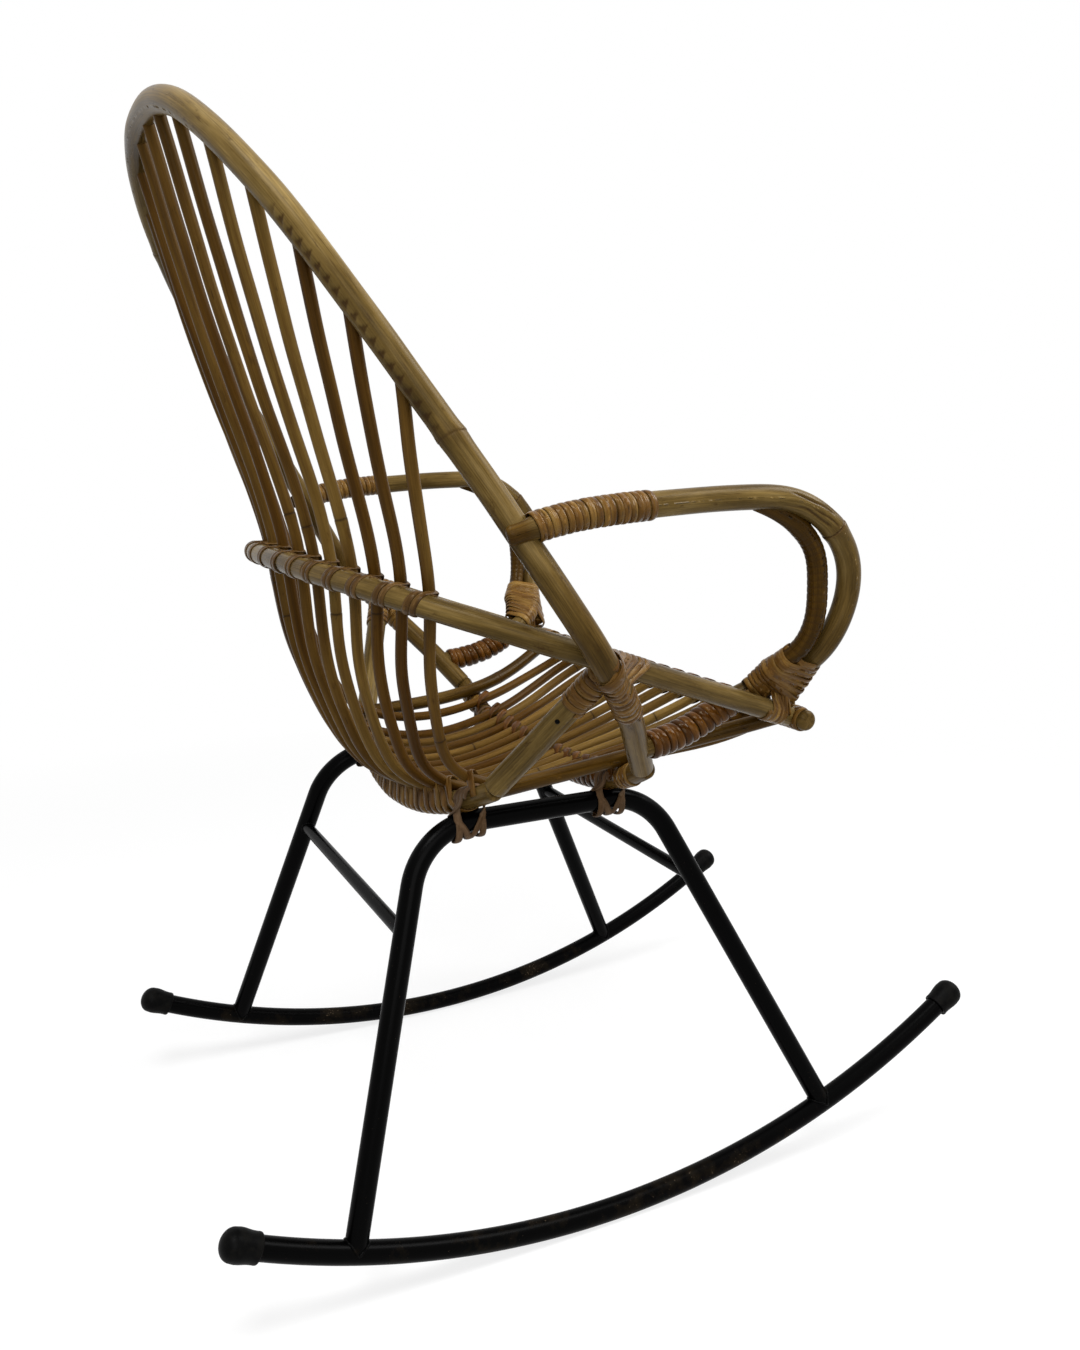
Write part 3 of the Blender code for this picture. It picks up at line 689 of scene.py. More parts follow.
@dataclass(frozen=True)
class Enamel:
    """Black stoving enamel on steel: smooth and deep, chipped and browned where feet and floor rub it.

    Attributes:
        name: What the material is.
        black: Colour of the sound enamel.
        worn: Colour where it is rubbed.
        chip: Colour of the chips.
        peel_mm: Width of the ripples that dry enamel has.
        chip_mm: Width of a chip.
        patch_mm: Width of a rubbed patch.
        worn_z: Height at which the rubbing starts, and the height below which it is full.
        rough: Roughness of sound and of rubbed enamel.
        gloss: Specular level.
    """

    name: str = "black_enamel_on_steel"
    black: str = "#020202"
    worn: str = "#1B150D"
    chip: str = "#54483A"
    peel_mm: float = 2.2
    chip_mm: float = 2.0
    patch_mm: float = 38.0
    worn_z: Pair = (0.30, 0.02)
    rough: Pair = (0.26, 0.46)
    gloss: float = 0.03

    def material(self) -> Material:
        """Makes the material.

        Returns:
            The material.
        """
        mat, tree, shader = new_material(self.name)
        place = add_node(tree, "TexCoord").outputs["Object"]
        height = add_node(tree, "SeparateXYZ", links={0: place}).outputs["Z"]
        # Width in millimetres, detail and roughness of each pattern
        patterns = {"patch": (self.patch_mm, 4.0, 0.6), "chip": (self.chip_mm, 2.0, 0.55),
                    "peel": (self.peel_mm, 1.0, 0.5)}
        noise = {}
        for key, (wide, detail, coarse) in patterns.items():
            values = {"Scale": 1 / (wide * MM), "Detail": detail, "Roughness": coarse}
            noise[key] = add_node(tree, "TexNoise", values, {"Vector": place})
        low = add_node(tree, "MapRange", dict(zip(RANGE, (*self.worn_z, 0.0, 1.0))), {"Value": height})
        rubbed = add_node(tree, "Math", {2: -0.52}, {0: low, 1: noise["patch"]}, operation="MULTIPLY_ADD")
        rub = add_node(tree, "MapRange", dict(zip(RANGE, (-0.04, 0.12, 0.0, 0.9))), {"Value": rubbed})
        chipped = add_node(tree, "Math", {1: 0.16}, {0: rub, 2: noise["chip"]}, operation="MULTIPLY_ADD")
        chips = add_node(tree, "MapRange", dict(zip(RANGE, (0.74, 0.80, 0.0, 0.8))), {"Value": chipped})
        brown = add_node(tree, "Mix", {"A": linear(self.black), "B": linear(self.worn)}, {"Factor": rub},
                         data_type="RGBA").outputs["Result"]
        colour = add_node(tree, "Mix", {"B": linear(self.chip)}, {"Factor": chips, "A": brown},
                          data_type="RGBA").outputs["Result"]
        rough = add_node(tree, "MapRange", dict(zip(RANGE, (0.0, 1.0, *self.rough))), {"Value": rub})
        relief = add_node(tree, "Bump", {"Strength": 0.25, "Distance": 0.04 * MM}, {"Height": noise["peel"]})
        wire(tree, shader, {"IOR": 1.5, "Specular IOR Level": self.gloss},
             {"Base Color": colour, "Roughness": rough, "Normal": relief})
        return mat


@dataclass(frozen=True)
class Rubber:
    """Moulded rubber: matt black, with a little dust that greys it.

    Attributes:
        name: What the material is.
        black: Colour of the clean rubber.
        dusty: Colour under dust.
        grit_mm: Width of the grain that the mould leaves.
        dust_mm: Width of a dusty patch.
        rough: Roughness of clean and of dusty rubber.
        gloss: Specular level.
    """

    name: str = "moulded_rubber"
    black: str = "#040404"
    dusty: str = "#12110F"
    grit_mm: float = 0.9
    dust_mm: float = 9.0
    rough: Pair = (0.42, 0.68)
    gloss: float = 0.04

    def material(self) -> Material:
        """Makes the material.

        Returns:
            The material.
        """
        mat, tree, shader = new_material(self.name)
        place = add_node(tree, "TexCoord").outputs["Object"]
        # Width in millimetres, detail and roughness of each pattern
        patterns = {"dust": (self.dust_mm, 5.0, 0.65), "grit": (self.grit_mm, 2.0, 0.5)}
        noise = {}
        for key, (wide, detail, coarse) in patterns.items():
            values = {"Scale": 1 / (wide * MM), "Detail": detail, "Roughness": coarse}
            noise[key] = add_node(tree, "TexNoise", values, {"Vector": place})
        share = add_node(tree, "MapRange", dict(zip(RANGE, (0.45, 0.7, 0.0, 1.0))), {"Value": noise["dust"]})
        colour = add_node(tree, "Mix", {"A": linear(self.black), "B": linear(self.dusty)}, {"Factor": share},
                          data_type="RGBA").outputs["Result"]
        rough = add_node(tree, "MapRange", dict(zip(RANGE, (0.0, 1.0, *self.rough))), {"Value": share})
        relief = add_node(tree, "Bump", {"Strength": 0.3, "Distance": 0.05 * MM}, {"Height": noise["grit"]})
        wire(tree, shader, {"Specular IOR Level": self.gloss},
             {"Base Color": colour, "Roughness": rough, "Normal": relief})
        return mat


# Bent rattan poles under old varnish: olive to honey brown, streaked along the stem, scuffed, softly glossy
POLE_LOOK = Rattan(
    "varnished_rattan_pole", ("#4E3D1D", "#65512A", "#7B6538", "#968052"), brown="#A8925E", fleck="#38220A",
    ring="#46301A", radius_mm=10.0, fibre_mm=(0.8, 60.0), fleck_mm=(0.7, 26.0), flecks=0.5, scuffs=0.6,
    streak=0.4, rough=(0.20, 0.38), gloss=0.09)
# Thin rattan core canes: brown to olive, softer in gloss, each a little different
CANE_LOOK = Rattan(
    "rattan_core_cane", ("#5A431B", "#6B5024", "#7B602E", "#8D703B"), brown="#B09A70", fleck="#33200C",
    ring="#221308", radius_mm=4.7, fibre_mm=(0.5, 60.0), cloud_mm=(9.0, 140.0), flecks=0.3, scuffs=0.4,
    streak=0.28, rough=(0.30, 0.5), gloss=0.09)
# Split cane skin wound while wet: honey to red-brown, rounded and shiny
STRIP_LOOK = Rattan(
    "split_cane_strip", ("#5A3C18", "#735022", "#896630", "#A07F44"), brown="#B8B0A0", fleck="#2A1808",
    ring="#2A1808", radius_mm=3.0, fibre_mm=(0.4, 30.0), cloud_mm=(6.0, 34.0), flecks=0.3,
    rough=(0.16, 0.32), gloss=0.15, bump_mm=0.03, edge=0.36)
# The same skin pulled flat over the belt rail: duller, with hardly any shade between its turns
FLAT_STRIP_LOOK = replace(
    STRIP_LOOK, name="flat_split_cane_strip", tones=("#473017", "#5B4122", "#6E522D", "#84673C"),
    rough=(0.24, 0.4), gloss=0.12, edge=0.12)
# The same skin, dark red-brown and shinier, with more painted shade at its edges, on the bindings in front
# and the arms' lower wraps
DARK_STRIP_LOOK = replace(
    STRIP_LOOK, name="dark_split_cane_strip", tones=("#42270B", "#583510", "#6E4619", "#845925"),
    brown="#C0B4A4", fleck="#1E0E04", ring="#1E0E04", flecks=0.25, rough=(0.10, 0.20), gloss=0.13, edge=0.5)
# Split cane that ties the shell to the steel: greyer, drier
LASHING_LOOK = replace(
    STRIP_LOOK, name="dry_split_cane", tones=("#4A3827", "#5F4A35", "#715B46", "#857058"), brown="#D8C8B4",
    fleck="#281C11", ring="#281C11", radius_mm=2.5, fibre_mm=(0.4, 24.0), cloud_mm=(6.0, 24.0), flecks=0.2,
    rough=(0.42, 0.6), gloss=0.1, bump_mm=0.05, edge=0.4)


@dataclass
class SteelBase:
    """Two bent side frames on curved rockers, two stretchers and four rubber caps."""

    tube_r: float = 0.0100
    stretcher_r: float = 0.0064
    # Rockers: distance from the middle, radius of the arc, where it touches the floor, reach from there
    rocker_x: float = 0.227
    rocker_r: float = 0.757
    rock_y: float = 0.034
    front_reach: float = 0.418
    rear_reach: float = 0.3505
    # Where the legs stand on the rockers
    foot_front_y: float = -0.211
    foot_rear_y: float = 0.2815
    # Top bars: height, distance from the middle, corners and the bends in them
    top_z: float = 0.379
    top_x: float = 0.1400
    top_front_y: float = -0.0500
    top_rear_y: float = 0.1815
    bend_r: float = 0.068
    stretcher_z: float = 0.2935
    # Caps: wall, length, and how far the nose stands out from the tube
    cap_wall: float = 0.0040
    cap_long: float = 0.032
    cap_over: float = 0.005
    weld_r: float = 0.0013

    # Faces round a tube, rounding of its ends, points of a rocker, steps of a bend
    ROUND = 32
    SOFT = 0.002
    ROCKER_POINTS = 160
    BEND_STEPS = 24
    # A cap as shares of its radius and length: its round nose, and the outline behind it
    CAP_NOSE = (0.96, 0.34)
    CAP_BODY = ((0.985, 0.45), (0.97, 0.56), (0.93, 0.68), (0.90, 0.78), (0.89, 0.90), (0.90, 0.965),
                (0.885, 1.0), (0.83, 1.0), (0.80, 0.985), (0.74, 0.985))
    # Ripples of a weld: distance and height, as a share of the bead
    RIPPLE = 0.0035
    RIPPLE_SHARE = 0.16

    def rocker_line(self, side: int) -> Line:
        """Bends a rocker.

        Args:
            side: 1 for the left, -1 for the right.

        Returns:
            Its centre line, from the front end to the rear.
        """
        first = math.asin(self.front_reach / self.rocker_r)
        last = math.asin(self.rear_reach / self.rocker_r)
        turn = np.linspace(-first, last, self.ROCKER_POINTS)
        y, z = self.rocker_r * np.sin(turn), self.rocker_r * (1 - np.cos(turn))
        return np.stack([np.full(len(turn), side * self.rocker_x), self.rock_y + y, self.tube_r + z], 1)

    def rocker_point(self, side: int, y: float) -> Triple:
        """The rocker's centre line at y."""
        drop = math.sqrt(self.rocker_r ** 2 - (y - self.rock_y) ** 2)
        return side * self.rocker_x, y, self.tube_r + self.rocker_r - drop

    def frame_line(self, side: int) -> Line:
        """Bends one side frame: leg, bend, top bar, bend, leg.

        Args:
            side: 1 for the left, -1 for the right.

        Returns:
            Its centre line, from the rear foot to the front one.
        """
        x = side * self.top_x
        corners = [self.rocker_point(side, self.foot_rear_y), (x, self.top_rear_y, self.top_z),
                   (x, self.top_front_y, self.top_z), self.rocker_point(side, self.foot_front_y)]
        p = [np.array(c, float) for c in corners]
        line = [p[0]]
        for before, corner, after in zip(p, p[1:], p[2:]):
            a, b = unit(before - corner), unit(after - corner)
            half = math.acos(float(a @ b)) / 2
            middle = corner + unit(a + b) * self.bend_r / math.sin(half)
            start = corner + a * self.bend_r / math.tan(half) - middle
            end = corner + b * self.bend_r / math.tan(half) - middle
            whole = math.pi - 2 * half
            for u in np.linspace(0, 1, self.BEND_STEPS + 1):
                arc = start * math.sin((1 - u) * whole) + end * math.sin(u * whole)
                line.append(middle + arc / math.sin(whole))
        return np.array(line + [p[-1]])

    def leg_at(self, foot_y: float, top_y: float, z: float) -> np.ndarray:
        """Finds a leg's centre line at a height, on the left side.

        Args:
            foot_y: Where the leg stands on the rocker.
            top_y: Where it would meet the top bar.
            z: The height.

        Returns:
            The point.
        """
        foot = np.array(self.rocker_point(1, foot_y))
        top = np.array((self.top_x, top_y, self.top_z))
        return foot + (top - foot) * (z - foot[2]) / (top[2] - foot[2])

    def weld(self, name: str, end: np.ndarray, way: np.ndarray, radius: float, host: np.ndarray,
             host_way: np.ndarray, host_r: float) -> Object:
        """A bead where a bar's end meets a tube.

        Args:
            name: Name of the bead.
            end: A point on the bar's centre line, inside the tube.
            way: Direction of the bar, away from the tube.
            radius: Radius of the bar.
            host: A point on the tube's centre line.
            host_way: Direction of the tube there.
            host_r: Radius of the tube.

        Returns:
            The bead, without a finish.
        """
        way, host_way = unit(np.array(way, float)), unit(np.array(host_way, float))
        u = unit(np.cross(way, host_way))
        v = np.cross(way, u)
        turn = np.linspace(0, 2 * math.pi, 61)
        foot = end + radius * (np.cos(turn)[:, None] * u + np.sin(turn)[:, None] * v)
        # Distance along the bar at which each of its edges leaves the tube's skin
        off = foot - host
        off = off - (off @ host_way)[:, None] * host_way
        lean = way - (way @ host_way) * host_way
        b, c, a = off @ lean, np.sum(off * off, axis=1) - host_r ** 2, lean @ lean
        t = (-b + np.sqrt(np.maximum(b * b - a * c, 0))) / a
        path = foot + t[:, None] * way
        s = lengths(path)
        ripples = np.round(s[-1] / self.RIPPLE)
        bead = self.weld_r * (1 + self.RIPPLE_SHARE * np.sin(2 * math.pi * ripples * s / s[-1]))
        run = np.gradient(path, s, axis=0)
        run[0] = run[-1] = run[0] + run[-1]
        side = unit(path - end - ((path - end) @ way)[:, None] * way)
        third = unit(np.cross(unit(run), side))
        ring = 2 * math.pi * np.arange(10) / 10
        rings = path[:, None] + bead[:, None, None] * (
            np.cos(ring)[None, :, None] * side[:, None] + np.sin(ring)[None, :, None] * third[:, None])
        return sweep(name, rings, s, {})

    def cap(self, name: str, end: np.ndarray, way: np.ndarray) -> Object:
        """A rubber cup turned about a tube's end: round nose, waist and a thin lip.

        Args:
            name: Name of the piece.
            end: End of the tube.
            way: Direction out of the tube.

        Returns:
            The cup, without a finish.
        """
        r, (wide, long) = self.tube_r + self.cap_wall, self.CAP_NOSE
        nose = [(math.sin(a) * wide, (1 - math.cos(a)) * long) for a in np.linspace(0.0, math.pi / 2, 12)]
        outline = [(r * a, self.cap_over - self.cap_long * z) for a, z in (*nose, *self.CAP_BODY)]
        return turned(name, outline, end, way, steps=48)

    def build(self) -> None:
        """Makes the base and dresses it."""
        enamel, rubber = Enamel().material(), Rubber().material()
        for word, side in SIDES.items():
            line = self.rocker_line(side)
            for node, path in ((f"rocker_{word}", line), (f"side_frame_{word}", self.frame_line(side))):
                tube = Pole(f"{node}_tube", path, self.tube_r, (1, 0, 0), sides=self.ROUND, soft=self.SOFT)
                settle(tube.build(), enamel, Slot.STEEL, node)
            for where, end, near in (("front", 0, 1), ("rear", -1, -2)):
                node = f"cap_{where}_{word}"
                cap = self.cap(f"{node}_cup", line[end], unit(line[end] - line[near]))
                settle(cap, rubber, Slot.RUBBER, node)
        for word, foot_y, top_y in (("front", self.foot_front_y, self.top_front_y),
                                    ("rear", self.foot_rear_y, self.top_rear_y)):
            left, node = self.leg_at(foot_y, top_y, self.stretcher_z), f"stretcher_{word}"
            bar = Pole(f"{node}_rod", np.array([mirrored(left, -1), left]), self.stretcher_r, (0, 0, 1),
                       soft=self.SOFT)
            settle(bar.build(), enamel, Slot.STEEL, node)
            for name, side in SIDES.items():
                foot = np.array(self.rocker_point(side, foot_y))
                leg = np.array((side * self.top_x, top_y, self.top_z)) - foot
                tilt = foot_y - self.rock_y
                along = (0.0, math.sqrt(self.rocker_r ** 2 - tilt ** 2), tilt)
                bead = self.weld(f"weld_{word}_{name}", foot, leg, self.tube_r, foot, along, self.tube_r)
                settle(bead, enamel, Slot.STEEL)
                end = mirrored(left, side)
                bead = self.weld(f"weld_stretcher_{word}_{name}", end, np.array((-side, 0, 0)),
                                 self.stretcher_r, end, leg, self.tube_r)
                settle(bead, enamel, Slot.STEEL)


@dataclass
class PoleFrame:
    """The bent poles that carry the shell: crossbars, hoop, belt rail, arms, braces and side poles."""

    base: SteelBase
    # Clearance between pieces that lie on each other
    gap: float = 0.0003
    hoop_r: float = 0.0107
    rail_r: float = 0.0095
    arm_r: float = 0.0102
    inner_r: float = 0.0086
    brace_r: float = 0.0108
    bar_r: float = 0.0095
    side_r: float = 0.0072
    cane_r: float = 0.0047
    # Share of a bar's radius at which a pole that is let into it ends
    cope: float = 0.60
    # Crossbars: inset from the steel's corners, half length, dish and its power, bow to the rear
    rear_inset: float = 0.044
    rear_half: float = 0.1805
    rear_dish: float = 1.35
    rear_power: float = 2.0
    rear_bow: float = 0.016
    front_inset: float = 0.0435
    front_half: float = 0.212
    front_dish: float = 4.20
    front_power: float = 3.0
    # How far in from a bar's end the brace, the side pole and the hoop stand on it
    brace_inset: float = 0.006
    side_inset: float = 0.007
    side_edge_inset: float = 0.033
    hoop_inset: float = 0.0075
    # Front edge bar: place, rise above the steel, length beyond the rail
    edge_y: float = -0.138
    edge_rise: float = 0.089
    edge_over: float = 0.021
    # Belt rail: half width in front and where it is widest, depth and roundness of its back, its climb
    rail_front_x: float = 0.250
    rail_wide_y: float = 0.089
    rail_wide_x: float = 0.2840
    rail_deep: float = 0.180
    rail_round: float = 0.91
    rail_rise: float = 0.1695
    rail_climb: float = 0.355
    rail_settle: float = 0.05
    # Where the brace meets the rail, the gap of hoop and rail, the height at which the arm ends on the hoop
    brace_top_y: float = 0.070
    hoop_off: float = 0.0042
    arm_end_rise: float = 0.074
    crown: Triple = (0.0, 0.352, 0.6005)

    # Heights are above the steel's top bar, and all points are for the left side
    HOOP_FOOT = (0.263, 0.041, 0.108)
    HOOP_BESIDE_RAIL = (0.093, 0.170)
    HOOP = ((0.294, 0.158, 0.272), (0.264, 0.235, 0.391), (0.188, 0.3165, 0.527), (0.108, 0.3445, 0.581))
    ARM = ((0.302, 0.1695, 0.2665), (0.3055, 0.130, 0.277), (0.3055, 0.0545, 0.2855),
           (0.303, -0.0375, 0.2895), (0.306, -0.084, 0.2855), (0.309, -0.123, 0.262),
           (0.304, -0.145, 0.228), (0.298, -0.148, 0.1975), (0.291, -0.1355, 0.163),
           (0.258, -0.121, 0.131), (0.2325, -0.0885, 0.109), (0.226, -0.038, 0.083))
    INNER = ((0.304, -0.045, 0.285), (0.302, -0.086, 0.269), (0.300, -0.112, 0.242), (0.298, -0.118, 0.213),
             (0.294, -0.119, 0.184), (0.284, -0.113, 0.159), (0.269, -0.100, 0.142))
    # Leaf rings, as distances along each pole
    HOOP_RINGS = (0.387, 1.057, 1.391, 1.571)
    RAIL_RINGS = (0.52, 0.86)
    REAR_RINGS = (0.13, 0.33)
    FRONT_RINGS = (0.09, 0.41)
    EDGE_RINGS = (0.21,)
    ARM_RINGS = (0.302,)
    SIDE_RINGS = (0.17,)
    # How far a pole's centre line strays, and the share by which its radius does
    WOBBLE = 0.0004
    UNEVEN = 0.012

    def __post_init__(self) -> None:
        """Works out the main lines once."""
        base = self.base
        self.cane_rise = self.bar_r + self.cane_r + self.gap
        self.edge_z = base.top_z + self.edge_rise
        self.edge_half = self.rail_front_x + self.edge_over
        self.rear_bar = self.bar_line(base.top_rear_y - self.rear_inset, self.rear_half, self.rear_dish,
                                      self.rear_power, self.rear_bow)
        self.front_bar = self.bar_line(base.top_front_y + self.front_inset, self.front_half, self.front_dish,
                                       self.front_power)
        self.edge_bar = np.array([(x, self.edge_y, self.edge_z)
                                  for x in np.linspace(-self.edge_half, self.edge_half, 41)])
        self.edge_tilt = math.atan((self.edge_z - self.front_bar[:, 2].min() - 2 * self.cane_rise)
                                   / (self.front_bar[0, 1] - self.edge_y))
        self.edge_under = np.array((0, -math.sin(self.edge_tilt), -math.cos(self.edge_tilt)))
        self.hoop = self.hoop_line(count=900)
        self.rail = self.rail_line(count=700)

    def raised(self, points: Any) -> np.ndarray:
        """Points of the shell, given as heights above the steel's top bar."""
        return np.array(points, float) + (0, 0, self.base.top_z)

    def bar_line(self, y: float, half: float, dish: float, power: float, bow: float = 0.0) -> Line:
        """Bends a crossbar that rests on both top bars and is dished and bowed between them.

        Args:
            y: Where it crosses the top bars.
            half: Half its length.
            dish: How much it rises to its ends.
            power: How late it does so.
            bow: How far its middle lies to the rear.

        Returns:
            Its centre line, from right to left.
        """
        top_x = self.base.top_x
        lean = math.atan(power * dish * top_x ** (power - 1))
        rest = (self.base.tube_r + self.bar_r + self.gap) / math.cos(lean)
        low = self.base.top_z + rest - dish * top_x ** power
        x = np.linspace(-half, half, 121)
        return np.stack([x, y + bow * (1 - (x / top_x) ** 2), low + dish * abs(x) ** power], 1)

    @staticmethod
    def along_bar(bar: Line, x: float) -> float:
        """How far along a bar it passes x."""
        return float(np.interp(x, bar[:, 0], lengths(bar)))

    @staticmethod
    def on_bar(bar: Line, x: float) -> np.ndarray:
        """The point of a crossbar at x."""
        return np.array((x, np.interp(x, bar[:, 0], bar[:, 1]), np.interp(x, bar[:, 0], bar[:, 2])))

    @staticmethod
    def lean_at(bar: Line, x: float) -> float:
        """Slope of a crossbar at x, as an angle."""
        return math.atan(np.interp(x, bar[:, 0], np.gradient(bar[:, 2], bar[:, 0])))

    def over_bar(self, bar: Line, x: float, lift: float) -> np.ndarray:
        """A point this far off the bar's centre line, square to it and up."""
        lean = self.lean_at(bar, x)
        return self.on_bar(bar, x) + np.array((-math.sin(lean), 0, math.cos(lean))) * lift

    def hoop_side(self) -> np.ndarray:
        """Places the hoop's left side.

        Returns:
            Points from above its foot, past the rail, to beside the crown.
        """
        beside = self.rail_wide_x + self.rail_r + self.hoop_r + self.hoop_off
        return self.raised([self.HOOP_FOOT, (beside, *self.HOOP_BESIDE_RAIL), *self.HOOP])

    def crossing(self, side: int) -> float:
        """How far along the hoop it passes the rail, on one side."""
        return nearest(self.hoop, mirrored(self.hoop_side()[1], side))

    def hoop_line(self, count: int) -> Line:
        """Bends the back hoop.

        Args:
            count: Points of the line.

        Returns:
            Its centre line, from its right foot over the crown to its left foot.
        """
        side = self.hoop_side()
        foot = towards(self.on_bar(self.front_bar, self.front_half - self.hoop_inset), side[0],
                       self.bar_r * self.cope)
        left = np.array([foot, *side])
        return through([*mirrored(left, -1), self.raised(self.crown), *left[::-1]], count)

    def rail_line(self, count: int) -> Line:
        """Bends the belt rail: a straight run each side and a rounded back, all climbing to the rear.

        Args:
            count: Points of the line.

        Returns:
            Its centre line, from its right end round the back to its left end.
        """
        turn = np.linspace(0, math.pi, 13)
        back = [(math.copysign(abs(math.cos(a)) ** self.rail_round, -math.cos(a)) * self.rail_wide_x,
                 self.rail_wide_y + self.rail_deep * max(math.sin(a), 0) ** self.rail_round) for a in turn]
        plan = [(-self.rail_front_x, self.edge_y),
                (-(self.rail_front_x + self.rail_wide_x) / 2, (self.edge_y + self.rail_wide_y) / 2)]
        plan = plan + back + [(-x, y) for x, y in reversed(plan)]
        past = np.array([y for _, y in plan]) - self.rail_wide_y
        rise_by = self.rail_rise + self.rail_climb * past - self.rail_settle * np.maximum(past, 0) ** 2
        return through([(x, y, self.base.top_z + z) for (x, y), z in zip(plan, rise_by)], count)

    def rail_at(self, side: int, y: float) -> float:
        """How far along the rail it passes y, on one side."""
        half = self.rail[:, 0] * side > 0
        return float(lengths(self.rail)[half][np.argmin(abs(self.rail[half, 1] - y))])

    def arm_line(self, side: int, count: int) -> Line:
        """Bends an arm.

        Args:
            side: 1 for the left, -1 for the right.
            count: Points of the line.

        Returns:
            Its centre line, from its tongue at the hoop round the front to the hoop's foot.
        """
        left = self.hoop[len(self.hoop) // 2:]
        end = left[np.argmin(abs(left[:, 2] - self.base.top_z - self.arm_end_rise))]
        return through(mirrored([*self.raised(self.ARM), end], side), count)

    def inner_line(self, side: int, count: int) -> Line:
        """The arc inside an arm's front bend."""
        return through(mirrored(self.raised(self.INNER), side), count)

    def brace_ends(self, side: int) -> tuple[np.ndarray, np.ndarray]:
        """Finds where a brace's centre line meets those of the bars that it joins.

        Args:
            side: 1 for the left, -1 for the right.

        Returns:
            The points on the rear crossbar and on the belt rail.
        """
        foot = self.on_bar(self.rear_bar, side * (self.rear_half - self.brace_inset))
        top, _ = at(self.rail, self.rail_at(side, self.brace_top_y))
        return foot, top

    def side_line(self, side: int) -> Line:
        """Bends a seat side pole.

        Args:
            side: 1 for the left, -1 for the right.

        Returns:
            Its centre line, from the rear crossbar over the front one to the edge bar.
        """
        x = side * (self.rear_half - self.side_inset)
        lift = (self.bar_r + self.side_r + self.gap) / math.cos(self.lean_at(self.front_bar, x))
        return through([self.on_bar(self.rear_bar, x), self.on_bar(self.front_bar, x) + (0, 0, lift),
                        self.on_bar(self.edge_bar, side * (self.edge_half - self.side_edge_inset))], 80)

    @staticmethod
    def degrees_of(turn: np.ndarray) -> np.ndarray:
        """Angles in degrees, from -180 to 180."""
        return (np.degrees(turn) + 180) % 360 - 180

    def gnawed(self, s: np.ndarray, turn: np.ndarray) -> np.ndarray:
        """Notches that the bending tool left in rows on the inside of the hoop, wide below and pointed.

        Args:
            s: Distances along the hoop, as a column.
            turn: Angles round it, as a row.

        Returns:
            Depths from 0 to 1.
        """
        first, last, pitch, half_wide = 0.394, 0.588, 0.0102, 0.36
        point, foot = 64.0, 24.0
        row_fade, foot_fade, edge_fade = 0.01, 6.0, 0.07
        along, angle = np.minimum(s, lengths(self.hoop)[-1] - s), self.degrees_of(turn)
        off = abs((along - first) / pitch % 1 - 0.5)
        half = half_wide * rise(angle, point, foot - point)
        fade = rise(angle, foot - foot_fade, foot_fade) * rise(along, first, row_fade)
        return rise(half, off, edge_fade) * fade * rise(along, last, -row_fade)

    @staticmethod
    def tongue(s: np.ndarray) -> Cut:
        """Cuts the arm's rear end to a flat tongue that lies against the outside of the hoop.

        Args:
            s: Distances along the arm.

        Returns:
            Width and thickness, as shares, and the shift outwards.
        """
        wide, thin, shift = 0.74, 0.44, 0.0036
        rest = rise(s, 0.010, 0.022)
        rest = rest * rest * (3 - 2 * rest)
        return wide + (1 - wide) * rest, thin + (1 - thin) * rest, shift * (1 - rest)

    @staticmethod
    def tongue_tint(s: np.ndarray) -> np.ndarray:
        """Brown where the arm's rear end was steamed thin, olive on top, browner round the front."""
        return np.interp(s, (0.012, 0.032, 0.24, 0.34), (0.0, 0.82, 0.82, 0.5))

    def hoop_tint(self, s: np.ndarray) -> np.ndarray:
        """Brown near the hoop's feet and at its crown, bleached olive between."""
        return np.interp(np.minimum(s, lengths(self.hoop)[-1] - s), (0.2, 0.42, 0.64, 0.72, 0.79),
                         (0.46, 0.66, 0.98, 0.90, 0.45))

    @staticmethod
    def feather(s: np.ndarray) -> Cut:
        """Width, thickness and shift of the inner arc, whose upper end is pared thin under the arm."""
        rest = 0.25 + 0.75 * rise(s, 0, 0.055)
        return 0.6 + 0.4 * rest, rest, np.zeros_like(s)

    @staticmethod
    def wrinkled(s: np.ndarray, turn: np.ndarray) -> np.ndarray:
        """Creases across the hollow of a tight bend.

        Args:
            s: Distances along the pole, as a column.
            turn: Angles round it, as a row.

        Returns:
            Depths from 0 to 1.
        """
        pitch, waviness, flat_share, deepest = 0.0061, 0.06, 0.35, 0.8
        ripple = np.sin(2 * math.pi * (s / pitch + waviness * np.sin(3 * turn)))
        return np.clip(ripple - flat_share, 0, 1) * rise(s, 0.04, 0.03) * deepest

    @classmethod
    def cracked(cls, s: np.ndarray, turn: np.ndarray) -> np.ndarray:
        """Cracks along the outside of the arm, just before its tightest bend.

        Args:
            s: Distances along the arm, as a column.
            turn: Angles round it, as a row.

        Returns:
            Depths from 0 to 1.
        """
        # Angle in degrees, start and end of each crack
        cracks = ((-52, 0.262, 0.300), (-24, 0.246, 0.292), (6, 0.268, 0.300), (30, 0.250, 0.296))
        wide, sway, sway_long = 5, 5, 0.006
        angle = cls.degrees_of(turn)
        total = np.zeros(np.broadcast_shapes(s.shape, turn.shape))
        for middle, start, end in cracks:
            off = abs(angle - middle - sway * np.sin(s / sway_long + middle))
            ends = rise(s, start, 0.008) * rise(s, end, -0.005)
            total = np.maximum(total, np.clip(1.4 - off / wide, 0, 1) * ends)
        return total

